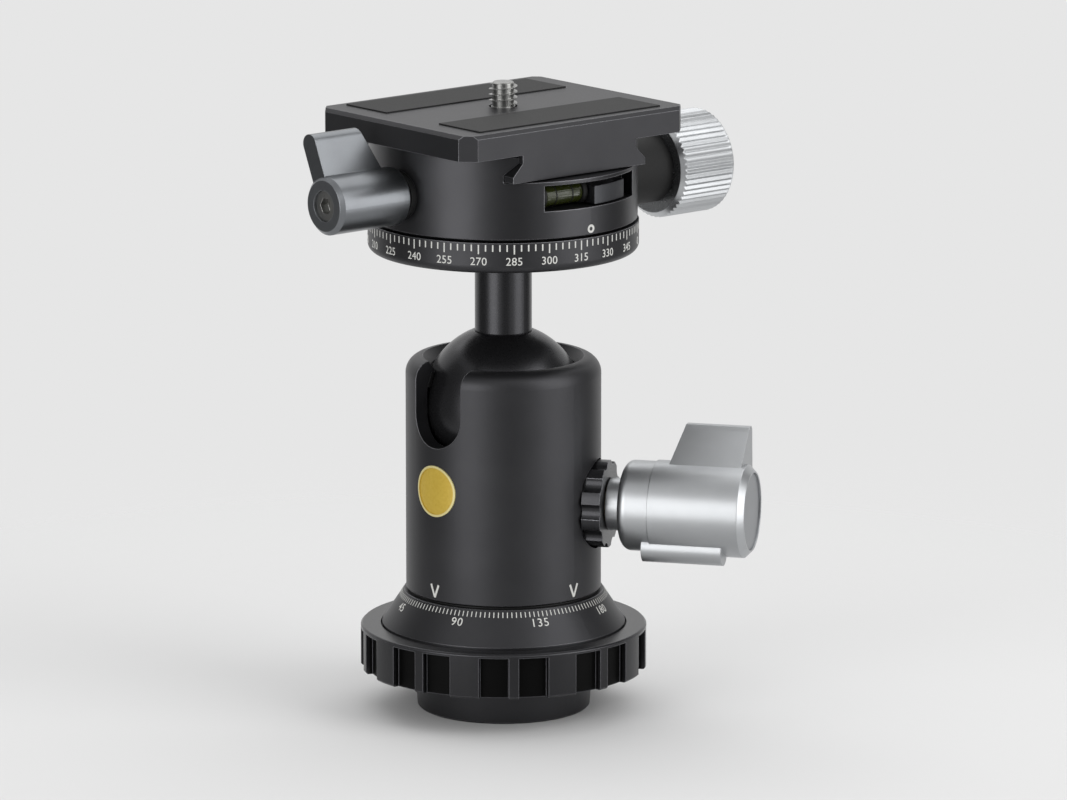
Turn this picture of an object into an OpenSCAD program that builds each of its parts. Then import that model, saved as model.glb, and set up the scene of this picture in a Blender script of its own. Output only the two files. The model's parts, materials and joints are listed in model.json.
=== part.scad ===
// Ball head with a panning base, a drop-notch ball and a panning dovetail clamp.
// Millimetres. The origin is the centre of the face that stands on the support, +Z is up,
// and the drop notch faces -Y.

/* [Base] */
// Radius of the foot under the lock ring
foot_r = 20; // [18:0.5:24]
// Radius of the foot at the face it stands on
foot_face_r = 19.3; // [17.5:0.1:20]
// Height of the foot
foot_h = 8.6; // [6:0.1:12]
// Radius of the shoulder that the lock ring turns on
shoulder_r = 16; // [14:0.5:17]
// Radius of the pivot that the housing turns on
hub_r = 9; // [8:0.5:10]
// Outer radius of the support thread, 3/8 inch
thread_r = 4.76; // [3:0.01:5]
// Depth of the support thread
thread_len = 12; // [9:0.5:15]
// Wall of the steel thread bush
bush_wall = 2.2; // [1.5:0.1:2.6]
// Radius of the scale cone at its foot
cone_r = 27.2; // [25:0.1:28]
// Radius of the scale cone at its top
cone_top_r = 22.3; // [21:0.1:23]
// Height of the scale cone
cone_h = 8.4; // [7:0.1:11]
// Upright edge below the scale cone's slope
cone_lip = 1; // [0.5:0.1:2]

/* [Lock ring] */
// Radius of the ring over its grip lands
ring_r = 32; // [30:0.5:36]
// Height of the space that holds the ring
ring_h = 9.8; // [7:0.1:13]
// Number of wide grip lands, each followed by a narrow rib
land_count = 9; // [6:1:12]
// Angle of a wide grip land
land_angle = 12; // [8:0.5:16]
// Angle of a narrow grip rib
rib_angle = 4; // [2:0.5:6]
// Direction of the first wide land
land_phase = 18.5; // [0:0.5:40]
// Depth of the hollows between the lands
grip_depth = 1.6; // [0.8:0.1:2]
// Unbroken rim above the hollows
ring_rim = 0.9; // [0.6:0.1:3]
// Rise of the ring's rim round the foot of the scale cone
ring_rise = 0.6; // [0.2:0.1:2]

/* [Housing] */
// Outer radius of the housing
body_r = 21.8; // [21.4:0.1:24]
// Height of the housing
body_h = 52.7; // [50:0.1:60]
// Radius of the rounded shoulder at the mouth
shoulder_round = 3.8; // [2:0.1:4]
// Thickness of the floor plug
floor_h = 6; // [5:0.1:8]
// Outer radius of the ball
ball_r = 18; // [17:0.1:18.2]
// Drop from the crest of the housing to the ball's centre
ball_depth = 11; // [10.5:0.1:12]
// Room between the ball and the bore that it is fitted through
bore_gap = 0.4; // [0.3:0.05:0.6]
// Width of the drop notch
notch_w = 13.9; // [13.5:0.1:15]
// Thickness of the sliding liners round the ball
liner_t = 0.95; // [0.7:0.05:1.1]
// Radius of the round badge
badge_r = 5.75; // [4:0.25:7]
// Height of the badge's centre above the housing's lower edge
badge_rise = 25.1; // [22:0.1:27]

/* [Main lock] */
// Direction of the main lock knob
lock_angle = 30; // [0:1:90]
// Height of the knob's axis above the housing's lower edge
lock_rise = 20.1; // [18:0.1:22]
// Radius of the lock shaft
lock_shaft_r = 4; // [3:0.1:4.4]
// Radius of the knob's barrel
knob_r = 10.4; // [9:0.1:12]
// Length of the knob's barrel
knob_len = 21.8; // [18:0.1:26]
// Length of the collar between neck and barrel
knob_collar_len = 7.2; // [5:0.1:9]
// Radius of the knob's neck
knob_neck_r = 5.9; // [5.5:0.1:7]
// Length of the knob's neck
knob_neck_len = 3.3; // [2:0.1:6]
// Height of the tall wing above the knob's axis
wing_rise = 17.6; // [13:0.1:20]
// Sideways lean of the wing's tip
wing_lean = 9; // [4:0.1:10]
// Thickness of the wing at its tip
wing_t = 3.4; // [2:0.1:5]
// Radius of the rounded thumb lip under the barrel
lip_r = 3.4; // [2:0.1:4]
// Outer radius of the friction ring
friction_r = 9.8; // [8:0.1:11]
// Length of the friction ring
friction_len = 4.2; // [3:0.1:6]
// Number of flutes round the friction ring
friction_flutes = 10; // [6:1:14]

/* [Stem and dial] */
// Radius of the stem
stem_r = 6.35; // [5:0.05:6.6]
// Height of the dial's underside above the ball's centre
stem_reach = 35.1; // [33:0.1:45]
// Radius of the graduated dial
dial_r = 30.1; // [29.9:0.1:33]
// Height of the dial
dial_h = 6.9; // [6:0.1:9]
// Wall of the dial's rim
dial_wall = 3.8; // [3:0.1:5]
// Thickness of the dial's floor
dial_floor = 3; // [2:0.1:4]
// Radius of the rounded edge under the dial
dial_round = 1.8; // [1:0.1:2.5]

/* [Clamp] */
// Turn of the clamp about the stem, as it stands
clamp_heading = -5.5; // [-45:0.5:45]
// Outer radius of the clamp body
clamp_r = 29.8; // [29.2:0.1:32]
// Height of the clamp below the channel's floor
clamp_base_h = 12.9; // [12.7:0.1:15]
// Height of the jaws above the channel's floor
jaw_h = 6; // [5:0.1:7]
// Travel of the moving jaw
jaw_travel = 4; // [2:0.5:5]
// Width of the moving jaw's leg
leg_w = 22; // [16:0.5:26]
// Depth of the moving jaw's leg below the channel's floor
leg_h = 11.4; // [10.5:0.1:11.8]
// Radius of the clamp screw
clamp_screw_r = 3; // [2:0.1:3.1]
// Drop from the channel's floor to the clamp screw's axis
clamp_screw_drop = 6.7; // [5.5:0.1:6.9]
// Radius of the knurled clamp knob
clamp_knob_r = 11.7; // [9:0.1:13]
// Length of the knurled clamp knob
clamp_knob_len = 16; // [12:0.5:20]
// Number of knurls round the clamp knob
knurl_count = 54; // [36:2:72]
// Depth of a knurl
knurl_depth = 0.45; // [0.2:0.05:0.7]
// Length of the dark collar behind the clamp knob
collar_len = 13; // [8:0.1:16]
// Radius of the dark collar
collar_r = 8; // [6:0.1:9]
// Radius of the tubular level
vial_r = 2.4; // [1.8:0.1:2.5]
// Length of the tubular level
vial_len = 10.5; // [9:0.5:14]

/* [Pan lever] */
// Drop from the channel's floor to the lever's axis
lever_drop = 4.4; // [4:0.1:6.4]
// Radius of the lever's barrel
lever_r = 6.5; // [5.5:0.1:7.5]
// Length of the lever's barrel
lever_len = 20; // [16:0.5:26]
// Distance of the lever's inner end from the stem's axis
lever_start = 31; // [30.8:0.1:36]
// Reach of the lever's wing from its axis
lever_wing_rise = 16.2; // [12:0.1:18]
// Sideways tilt of the lever's wing
lever_wing_tilt = 23.5; // [10:0.5:35]
// Thickness of the lever's wing
lever_wing_t = 4.4; // [3:0.1:5.5]
// Radius of the lever's shaft
lever_shaft_r = 3; // [2.5:0.1:3.4]

/* [Plate] */
// Width of the plate across the channel
plate_w = 64; // [50:1:70]
// Length of the plate along the channel
plate_l = 52; // [40:1:70]
// Thickness of the plate above the dovetail
plate_t = 5.7; // [5:0.1:8]
// Width of the dovetail at its foot
dovetail_w = 38; // [36:0.1:39]
// Inward reach of each dovetail flank
flank = 2.75; // [2:0.05:3]
// Upright foot of the dovetail below its flanks
dovetail_foot = 1.4; // [1:0.1:2]
// Cut across each upright corner of the plate
corner_cut = 3; // [1:0.1:6]
// Bevel along the plate's top edges
plate_bevel = 0.8; // [0.3:0.1:1.5]
// Outer radius of the camera thread, 1/4 inch
camera_thread_r = 3.175; // [3:0.005:4.8]
// Length of camera thread above the plate
camera_thread_len = 5.5; // [4:0.1:7]
// Thickness of a rubber pad
pad_t = 1; // [0.6:0.1:1.5]
// Height of the pads above the plate
pad_proud = 0.3; // [0.1:0.05:0.5]

/* [Fits] */
// Radial room of a turning fit
run_gap = 0.05; // [0.02:0.01:0.1]
// Radial room of a piece seated in its hole
seat_gap = 0.04; // [0.02:0.01:0.1]
// Room between faces that slide past each other
slide_gap = 0.1; // [0.05:0.01:0.2]
// Room between pieces that move past each other
clear_gap = 0.3; // [0.2:0.05:0.4]

/* [Hidden] */
$fn = 96;
eps = 0.01;

// Colours of the finishes
anodised = "#2b2b2d";
satin_silver = "#c4c6c8";
steel = "#8d9094";
nylon = "#e4e2da";
brass = "#b59a57";
rubber = "#1b1b1c";

// Small edges that break corners
edge = 0.4;
soft_edge = 1;

// Cap screw sizes, M3
screw_r = 1.5;
screw_head_r = 2.75;
screw_head_h = 3;
screw_bite = 5;
base_screw_count = 4;
retainer_screw_count = 3;
brake_pin_count = 3;

// Heights of the base
bush_r = thread_r + bush_wall;
cone_z = foot_h + ring_h;
cone_top_z = cone_z + cone_h;
washer_t = 0.35;
body_z = cone_top_z + washer_t + run_gap;
hub_top_z = body_z + floor_h + slide_gap;
retainer_t = 2.4;
retainer_lap = 4;
retainer_r = hub_r + retainer_lap;
base_screw_circle = (bush_r + shoulder_r) / 2;
retainer_screw_circle = hub_r - screw_head_r - soft_edge;
brake_pin_circle = (shoulder_r + cone_top_r) / 2;
brake_pin_r = 1.5;

// Ring that grips the base
ring_bore_r = shoulder_r + run_gap;
ring_z = foot_h + clear_gap;
ring_top_z = cone_z - clear_gap;
rim_top_z = cone_z + ring_rise;
rim_in_r = cone_r + clear_gap;
land_step = 360 / land_count;
hollow_angle = (land_step - land_angle - rib_angle) / 2;

// Housing and ball
crest_z = body_z + body_h;
ball_z = crest_z - ball_depth;
bore_r = ball_r + bore_gap;
floor_seat = 0.5;
floor_r = bore_r + floor_seat;
floor_top_z = body_z + floor_h;
race_in_r = ball_r + slide_gap;
race_out_r = race_in_r + liner_t;
seat_r = race_out_r + seat_gap;
race_reach = 0.44;
race_top = race_reach * seat_r;
race_low = sqrt(pow(seat_r, 2) - pow(bore_r, 2)) + seat_gap;
lip_in_r = ball_r + clear_gap;
mouth_low = race_top + clear_gap;
mouth_low_r = sqrt(pow(lip_in_r, 2) - pow(mouth_low, 2));
mouth_top_r = body_r - shoulder_round;
notch_depth = body_r + 1;
badge_z = body_z + badge_rise;
badge_seat = 0.8;
badge_proud = 0.2;
badge_rim = 0.6;
badge_dish = 0.15;

// Brake under the ball
liner_in_r = ball_r + slide_gap;
liner_out_r = liner_in_r + liner_t;
liner_reach = 0.58;
liner_rim_r = liner_reach * liner_out_r;
liner_hole_r = 3;
cup_recess_r = liner_out_r + clear_gap;
spring_t = 0.8;
spring_dish = 0.9;
spring_room = 0.6;
spring_out_r = bore_r - spring_room;
spring_in_r = retainer_r + spring_room;
spring_pair_h = 2 * (spring_t + spring_dish) + slide_gap;
cup_z = floor_top_z + spring_pair_h + slide_gap;
cup_reach = 0.6;
cup_top_z = ball_z - cup_reach * cup_recess_r;
cup_r = bore_r - clear_gap;

// Stations along the main lock's axis, from the stem's axis outwards
lock_z = body_z + lock_rise;
spot_at = (bore_r + body_r) / 2;
bush_in_at = bore_r + slide_gap;
friction_at = spot_at + slide_gap;
friction_end = friction_at + friction_len;
neck_at = friction_end + clear_gap;
knob_collar_at = neck_at + knob_neck_len;
barrel_at = knob_collar_at + knob_collar_len;
knob_end = barrel_at + knob_len;
bush_flange_w = 2.2;
bush_flange_r = lock_shaft_r + bush_flange_w;
journal_w = 1;
journal_r = lock_shaft_r + journal_w;
spot_r = friction_r + clear_gap;
flute_r = 2.2;
cone_tip_in = 5;
cone_tip_at = bore_r - cone_tip_in;
cone_tip_r = 0.8;
cone_full_in = 1.4;
cone_full_at = bore_r - cone_full_in;
pocket_gap = 0.5;
shaft_grip = 6;
shaft_end = barrel_at + shaft_grip;
collar_round = 2;
knob_bevel = 1.4;
knob_step = 0.3;
knob_collar_r = knob_r - knob_step;
collar_round_at = knob_collar_at + collar_round;
cap_rim = 0.4;
cap_r = knob_r - knob_bevel - cap_rim;
cap_t = 1.2;
cap_sunk = 0.4;
wing_inset = 2.8;
wing_at = barrel_at + wing_inset;
wing_slant = 2.6;
wing_back = 2.2;
wing_end = knob_end - wing_back;
lip_lead = 1.8;
lip_at = barrel_at - lip_lead;
lip_back = 5.4;
lip_end = knob_end - lip_back;
lip_dir = 240;

// Stem and dial
spigot_r = 4;
spigot_len = 9;
flat_z = ball_z + sqrt(pow(ball_r, 2) - pow(stem_r + edge, 2));
stem_z = flat_z + run_gap;
dial_z = ball_z + stem_reach;
dial_top_z = dial_z + dial_h;
dial_floor_z = dial_z + dial_floor;
stem_tenon_r = 5;
pan_washer_in_r = 12;
pan_shoulder_r = 4.5;
pan_thread_r = 3;
pan_thread_len = 9;

// Clamp
clamp_z = dial_top_z + clear_gap;
channel_z = clamp_z + clamp_base_h;
jaw_top_z = channel_z + jaw_h;
clamp_spigot_r = dial_r - dial_wall - clear_gap;
clamp_spigot_z = dial_floor_z + washer_t + slide_gap;
wave_t = 0.5;
pan_head_r = 7;
pan_head_h = 2.6;
pan_head_z = clamp_z + wave_t + run_gap;
pan_pocket_room = 1;
pan_pocket_r = pan_head_r + pan_pocket_room;
hex_key_r = 2.9;
screw_z = channel_z - clamp_screw_drop;
knob_angle = clamp_heading + 90;
lever_angle = clamp_heading - 90;
bar_room = 0.5;
bar_w = 8.5;
bar_drop = 2.2;
bar_in = pan_head_r + bar_room;
bar_out = bar_in + bar_w;
bar_low = screw_z - clamp_screw_r - bar_room;
bar_top = channel_z - bar_drop;
bar_half_l = 14;
tongue_step = 3.4;
tongue_out = bar_out - tongue_step;
tongue_inset = 0.8;
tongue_end_r = clamp_r - tongue_inset;
slot_wall = 2;
slot_at = bar_out + slot_wall;
leg_room = 1.5;
leg_at = slot_at + leg_room;
nut_bite = 7;
screw_tip_at = bar_out - nut_bite - jaw_travel;
collar_at = clamp_r + clear_gap;
collar_face_at = max(dial_r, clamp_r) + 2 * clear_gap;
collar_boss_w = 2.5;
collar_boss_r = clamp_screw_r + collar_boss_w;
clamp_knob_at = collar_at + collar_len;
screw_end = clamp_knob_at + clamp_knob_len / 2;
clamp_knob_end = clamp_knob_at + clamp_knob_len;
clamp_knob_bevel = 1.2;
dove_half = dovetail_w / 2 + slide_gap;
dove_neck_half = dove_half - flank;
dove_z = channel_z + clear_gap;
dove_flank_z = dove_z + dovetail_foot + slide_gap;

// Tubular level in its window
vial_k1 = 1.5;
vial_cap_t = 1.1;
window_k0 = vial_k1 - vial_len - 2 * (vial_cap_t + slide_gap);
window_k1 = bar_out + seat_gap;
window_room = 0.9;
window_h = 2 * vial_r + window_room;
window_roof = 0.8;
window_low = channel_z - window_roof - window_h;
window_back = 21.5;
tongue_in = vial_k1 + clear_gap;
tongue_low = window_low + clear_gap;
vial_z = window_low + window_h / 2;
vial_back = 0.5;
vial_s = window_back + vial_r + vial_back;
vial_mid = (window_k0 + vial_k1) / 2;

// Pan lever
lever_z = channel_z - lever_drop;
lever_end = lever_start + lever_len;
lever_bush_wall = 2.4;
lever_bush_r = lever_shaft_r + lever_bush_wall;
lever_bush_depth = 4;
lever_bush_at = clamp_r - lever_bush_depth;
lever_bush_end = lever_start - clear_gap;
lever_tip_depth = 12;
lever_tip_at = clamp_r - lever_tip_depth;
lever_tip_r = 1;
lever_taper = 4;
lever_end_wall = 6;
lever_shaft_end = lever_end - lever_end_wall;
lever_screw_head_r = 3.4;
lever_screw_head_h = 2.4;
lever_recess = 3;
lever_bevel = 0.9;
lever_wing_back = 0.6;
lever_wing_end = lever_end - lever_wing_back;
lever_wing_top = 12;
lever_wing_slant = 4.4;
lever_wing_at = lever_wing_end - lever_wing_top - lever_wing_slant;
pan_pin_r = 2.5;
pan_pin_at = lever_tip_at + lever_taper / 2;
pan_pin_room = 1.2;
pan_pin_top = lever_z - (lever_tip_r + lever_shaft_r) / 2 - pan_pin_room;

// Plate and camera screw
plate_z = jaw_top_z + clear_gap;
plate_top_z = plate_z + plate_t;
pad_z = plate_top_z - pad_t + pad_proud;
pad_w = 14;
pad_margin = 3;
pad_l = plate_w - 2 * (corner_cut + pad_margin);
pad_at = plate_l / 2 - pad_w / 2 - pad_margin;
camera_relief = 0.5;
camera_neck_r = camera_thread_r - camera_relief;
camera_head_r = 7.2;
camera_head_h = 2.5;
camera_head_room = 0.4;
camera_head_z = dove_z + camera_head_room;
camera_well_r = camera_head_r + camera_head_room;
clip_t = 0.5;
clip_r = 5.5;
camera_head_top = camera_head_z + camera_head_h;
camera_well_z = camera_head_top + clip_t + clear_gap;
coin_slot_w = 1.4;
coin_slot_h = 1.1;

// Solid of revolution about Z from [radius, height] points
module turned(points) rotate_extrude() polygon(points);

// Frame on a radial axis: x runs round the stem, y up and z outwards
module radial(angle, z) translate([0, 0, z]) rotate([0, 0, angle]) rotate([90, 0, 90]) children();

// Frame of the clamp: x along the channel, y across it
module in_clamp() rotate([0, 0, clamp_heading]) children();

// Section of [across, height] points run along the clamp's channel
module along_channel(points, length)
    rotate([90, 0, 90]) linear_extrude(length, center = true) polygon(points);

// Flat washer or bush between two heights
module tube(r_in, r_out, z0, z1)
    turned([[r_in, z0], [r_out, z0], [r_out, z1], [r_in, z1]]);

// Copies round Z on a circle
module on_circle(count, radius, phase = 0)
    for (i = [0 : count - 1]) rotate([0, 0, phase + i * 360 / count]) translate([radius, 0, 0]) children();

// Section of a wing, in its knob's radial frame, run outwards and cut back at its inner end
module wing(root_r, rise, inner, slant, outer) intersection() {
    linear_extrude(outer) children();
    rotate([0, -90, 0]) linear_extrude(4 * rise, center = true) polygon([
        [inner, 0], [inner, 0.8 * root_r], [inner + slant, rise + 1], [outer, rise + 1], [outer, 0]
    ]);
}

// Section of the lock knob's wing, whose flat front runs off the barrel
module lock_wing_section() {
    tip = wing_t / 4;
    polygon([
        [-0.3 * knob_r, 0.9 * knob_r], [wing_lean - wing_t, wing_rise - tip],
        [wing_lean - wing_t + tip, wing_rise], [wing_lean - tip, wing_rise], [wing_lean, wing_rise - tip],
        [0.94 * knob_r, 0.24 * knob_r], [0, 0]
    ]);
}

// Section of the pan lever's wing, an even blade with a round tip
module lever_wing_section() rotate([0, 0, lever_wing_tilt]) {
    translate([-lever_wing_t / 2, 0]) square([lever_wing_t, lever_wing_rise - lever_wing_t / 2]);
    translate([0, lever_wing_rise - lever_wing_t / 2]) circle(r = lever_wing_t / 2);
}

// Foot, shoulder and pivot in one turned piece
module base_foot() color(anodised) difference() {
    turned([
        [0, 0], [foot_face_r - edge, 0], [foot_face_r, edge], [foot_r, foot_h - edge],
        [foot_r - edge, foot_h], [shoulder_r, foot_h], [shoulder_r, cone_z], [hub_r, cone_z],
        [hub_r, hub_top_z], [0, hub_top_z]
    ]);
    translate([0, 0, -eps]) cylinder(r = bush_r + seat_gap, h = thread_len + eps);
    on_circle(base_screw_count, base_screw_circle) {
        translate([0, 0, -eps]) cylinder(r = screw_r + seat_gap, h = cone_z + 1);
        translate([0, 0, -eps]) cylinder(r = screw_head_r + seat_gap, h = screw_head_h + edge);
    }
    on_circle(retainer_screw_count, retainer_screw_circle)
        translate([0, 0, hub_top_z - screw_bite]) cylinder(r = screw_r + seat_gap, h = screw_bite + 1);
}

// Steel bush that takes the support's thread
module thread_bush() color(steel) tube(thread_r, bush_r, 0, thread_len);

// Cap screws that hold the scale cone on the foot
module base_screws() color(steel) on_circle(base_screw_count, base_screw_circle) difference() {
    union() {
        translate([0, 0, edge]) cylinder(r = screw_head_r, h = screw_head_h);
        translate([0, 0, edge]) cylinder(r = screw_r, h = cone_z + screw_bite - 2 * edge);
    }
    translate([0, 0, edge - eps]) cylinder(r = screw_r, h = screw_head_h / 2, $fn = 6);
}

// Graduated cone that stays with the foot
module scale_cone() color(anodised) difference() {
    turned([
        [hub_r + seat_gap, cone_z], [cone_r, cone_z], [cone_r, cone_z + cone_lip],
        [cone_top_r, cone_top_z], [hub_r + seat_gap, cone_top_z]
    ]);
    on_circle(base_screw_count, base_screw_circle)
        translate([0, 0, cone_z - 1]) cylinder(r = screw_r + seat_gap, h = screw_bite + 1);
    on_circle(brake_pin_count, brake_pin_circle, 30)
        translate([0, 0, cone_z - 1]) cylinder(r = brake_pin_r + seat_gap, h = cone_h + 2);
}

// Pins that carry the ring's pressure up to the housing
module pan_brake_pins() color(brass) on_circle(brake_pin_count, brake_pin_circle, 30)
    translate([0, 0, cone_z]) cylinder(r = brake_pin_r, h = cone_h);

// Sliding washer under the housing
module pan_washer() color(nylon)
    tube(hub_r + soft_edge, cone_top_r - soft_edge, cone_top_z, cone_top_z + washer_t);

// Disc that keeps the housing on its pivot
module pan_retainer() color(steel) difference() {
    translate([0, 0, hub_top_z]) cylinder(r = retainer_r, h = retainer_t);
    on_circle(retainer_screw_count, retainer_screw_circle) {
        translate([0, 0, hub_top_z - 1]) cylinder(r = screw_r + seat_gap, h = retainer_t + 2);
        translate([0, 0, hub_top_z + retainer_t / 2])
            cylinder(r = screw_head_r + seat_gap, h = retainer_t);
    }
}

// Flat-head screws of the retainer
module retainer_screws() color(steel) on_circle(retainer_screw_count, retainer_screw_circle) {
    difference() {
        union() {
            translate([0, 0, hub_top_z - screw_bite]) cylinder(r = screw_r, h = screw_bite + retainer_t / 2);
            translate([0, 0, hub_top_z + retainer_t / 2]) cylinder(r = screw_head_r, h = retainer_t / 2);
        }
        translate([0, 0, hub_top_z + retainer_t / 2 + eps])
            cylinder(r = screw_r, h = retainer_t / 2, $fn = 6);
    }
}

// Hollow cut into the ring's grip, starting at a direction
module grip_hollow(direction)
    rotate([0, 0, direction]) rotate_extrude(angle = hollow_angle) polygon([
        [ring_r - grip_depth, ring_z - 1], [ring_r + 1, ring_z - 1],
        [ring_r + 1, rim_top_z - ring_rim], [ring_r - grip_depth, rim_top_z - ring_rim]
    ]);

// Castellated ring that locks the panning base
module pan_lock_ring() color(anodised) difference() {
    turned([
        [ring_bore_r, ring_z], [ring_r - edge, ring_z], [ring_r, ring_z + edge],
        [ring_r, rim_top_z - edge], [ring_r - edge, rim_top_z], [rim_in_r, rim_top_z],
        [rim_in_r, ring_top_z], [ring_bore_r, ring_top_z]
    ]);
    for (i = [0 : land_count - 1]) {
        grip_hollow(land_phase + land_angle / 2 + i * land_step);
        grip_hollow(land_phase + rib_angle / 2 + (i + 0.5) * land_step);
    }
}

// Slot that lets the stem drop to the side
module drop_notch() translate([0, 0, ball_z]) {
    rotate([90, 0, 0]) cylinder(r = notch_w / 2, h = notch_depth);
    translate([-notch_w / 2, -notch_depth, 0]) cube([notch_w, notch_depth, ball_depth + 1]);
}

// Round pocket of the badge, with a floor that follows the housing
module badge_plug(r, sunk, proud) translate([0, 0, badge_z]) intersection() {
    rotate([90, 0, 0]) cylinder(r = r, h = body_r + 1);
    difference() {
        cylinder(r = body_r + proud, h = 2 * r + 1, center = true);
        cylinder(r = body_r - sunk, h = 2 * r + 2, center = true);
    }
}

// Barrel with its rounded shoulder, mouth, notch and knob seat
module housing_barrel() color(anodised) difference() {
    rotate_extrude() union() {
        polygon([
            [0, body_z], [body_r - edge, body_z], [body_r, body_z + edge], [body_r, crest_z - shoulder_round],
            [mouth_top_r, crest_z - shoulder_round], [mouth_top_r, crest_z], [0, crest_z]
        ]);
        translate([mouth_top_r, crest_z - shoulder_round]) circle(r = shoulder_round);
    }
    translate([0, 0, body_z - 1]) cylinder(r = floor_r + seat_gap, h = floor_h + 1);
    translate([0, 0, body_z]) cylinder(r = bore_r, h = ball_z - body_z);
    translate([0, 0, ball_z]) {
        intersection() {
            sphere(r = seat_r);
            translate([0, 0, -eps]) cylinder(r = bore_r, h = race_top + eps);
        }
        sphere(r = lip_in_r);
        translate([0, 0, mouth_low])
            cylinder(r1 = mouth_low_r, r2 = mouth_top_r, h = ball_depth - mouth_low);
        translate([0, 0, ball_depth - eps]) cylinder(r = mouth_top_r, h = 1);
    }
    drop_notch();
    badge_plug(badge_r + seat_gap, badge_seat, 1);
    radial(lock_angle, lock_z) {
        translate([0, 0, bore_r / 2]) cylinder(r = bush_flange_r + seat_gap, h = bore_r);
        translate([0, 0, spot_at]) cylinder(r = spot_r, h = body_r);
    }
}

// Plug that closes the housing and turns on the pivot
module housing_floor() color(anodised) tube(hub_r + run_gap, floor_r, body_z, floor_top_z);

// Sliding race above the ball
module upper_race() color(nylon) difference() {
    translate([0, 0, ball_z]) intersection() {
        sphere(r = race_out_r);
        translate([0, 0, race_low]) cylinder(r = bore_r, h = race_top - race_low - seat_gap);
    }
    translate([0, 0, ball_z]) sphere(r = race_in_r);
    drop_notch();
}

// One dished spring, rising from its rim to its bore
module dished_spring() turned([
    [spring_in_r, spring_dish], [spring_out_r, 0], [spring_out_r, spring_t],
    [spring_in_r, spring_dish + spring_t]
]);

// Pair of dished springs under the pressure cup, bore to bore
module disc_springs() color(steel) translate([0, 0, floor_top_z]) {
    dished_spring();
    translate([0, 0, spring_pair_h]) mirror([0, 0, 1]) dished_spring();
}

// Threaded bush of the lock shaft, with the journal of the friction ring
module lock_bush() color(brass) radial(lock_angle, lock_z) turned([
    [lock_shaft_r + run_gap, bush_in_at], [bush_flange_r, bush_in_at], [bush_flange_r, spot_at],
    [journal_r, spot_at], [journal_r, friction_end], [lock_shaft_r + run_gap, friction_end]
]);

// Round badge, left bare inside its raised rim
module badge() color("#d9b23c") difference() {
    badge_plug(badge_r, badge_seat - seat_gap, badge_proud);
    badge_plug(badge_r - badge_rim, -badge_proud + badge_dish, 1);
}

// Cup that the lock shaft lifts against the ball
module pressure_cup() color(steel) difference() {
    translate([0, 0, cup_z]) cylinder(r = cup_r, h = cup_top_z - cup_z);
    translate([0, 0, ball_z]) sphere(r = cup_recess_r);
    radial(lock_angle, lock_z) turned([
        [0, cone_tip_at - pocket_gap], [cone_tip_r + pocket_gap, cone_tip_at - pocket_gap],
        [lock_shaft_r + pocket_gap, cone_full_at], [lock_shaft_r + pocket_gap, bore_r + 1], [0, bore_r + 1]
    ]);
}

// Turned body of the lock knob: neck, collar with a round inner edge, and barrel
module lock_knob_blank() rotate_extrude() {
    polygon([
        [0, neck_at], [knob_neck_r, neck_at], [knob_neck_r, knob_collar_at],
        [knob_collar_r - collar_round, knob_collar_at], [knob_collar_r - collar_round, collar_round_at],
        [knob_collar_r, collar_round_at], [knob_collar_r, barrel_at], [knob_r, barrel_at],
        [knob_r, knob_end - knob_bevel], [knob_r - knob_bevel, knob_end], [0, knob_end]
    ]);
    translate([knob_collar_r - collar_round, collar_round_at]) circle(r = collar_round);
}

// Main lock knob: turned body, tall wing and thumb lip
module lock_knob() color(satin_silver) radial(lock_angle, lock_z) difference() {
    union() {
        lock_knob_blank();
        wing(knob_r, wing_rise, wing_at, wing_slant, wing_end) lock_wing_section();
        rotate([0, 0, lip_dir]) translate([knob_r - soft_edge, 0, lip_at])
            cylinder(r = lip_r, h = lip_end - lip_at);
    }
    translate([0, 0, knob_end - cap_sunk - cap_t]) cylinder(r = cap_r + seat_gap, h = cap_sunk + cap_t + 1);
    translate([0, 0, neck_at - 1]) cylinder(r = lock_shaft_r + seat_gap, h = shaft_end - neck_at + 1);
}

// Lock shaft with the cone that lifts the pressure cup
module lock_shaft() color(steel) radial(lock_angle, lock_z) turned([
    [0, cone_tip_at], [cone_tip_r, cone_tip_at], [lock_shaft_r, cone_full_at],
    [lock_shaft_r, shaft_end], [0, shaft_end]
]);

// Grey cap sunk in the knob's end
module knob_cap() color(steel) radial(lock_angle, lock_z)
    translate([0, 0, knob_end - cap_sunk - cap_t]) cylinder(r = cap_r, h = cap_t);

// Fluted ring that sets the ball's friction
module friction_ring() color(rubber) radial(lock_angle, lock_z) difference() {
    tube(journal_r + run_gap, friction_r, friction_at, friction_end);
    on_circle(friction_flutes, friction_r + flute_r - soft_edge)
        translate([0, 0, friction_at - 1]) cylinder(r = flute_r, h = friction_len + 2);
}

// Floating liner between the ball and the pressure cup
module ball_liner() color(nylon) translate([0, 0, ball_z]) difference() {
    intersection() {
        sphere(r = liner_out_r);
        translate([0, 0, -liner_out_r - 1]) cylinder(r = liner_rim_r, h = liner_out_r);
    }
    sphere(r = liner_in_r);
    translate([0, 0, -liner_out_r - 1]) cylinder(r = liner_hole_r, h = liner_out_r);
}

// Ball with a flat and a socket for the stem
module ball() color(anodised) difference() {
    translate([0, 0, ball_z]) sphere(r = ball_r);
    translate([0, 0, flat_z]) cylinder(r = ball_r, h = ball_r);
    translate([0, 0, flat_z - spigot_len - slide_gap]) cylinder(r = spigot_r + run_gap, h = spigot_len + 1);
}

// Stem between the ball and the dial
module stem() color(anodised) difference() {
    turned([
        [0, flat_z - spigot_len], [spigot_r, flat_z - spigot_len], [spigot_r, stem_z], [stem_r, stem_z],
        [stem_r, dial_z], [stem_tenon_r, dial_z], [stem_tenon_r, dial_floor_z], [0, dial_floor_z]
    ]);
    translate([0, 0, dial_floor_z - pan_thread_len])
        cylinder(r = pan_thread_r + seat_gap, h = pan_thread_len + 1);
}

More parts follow.
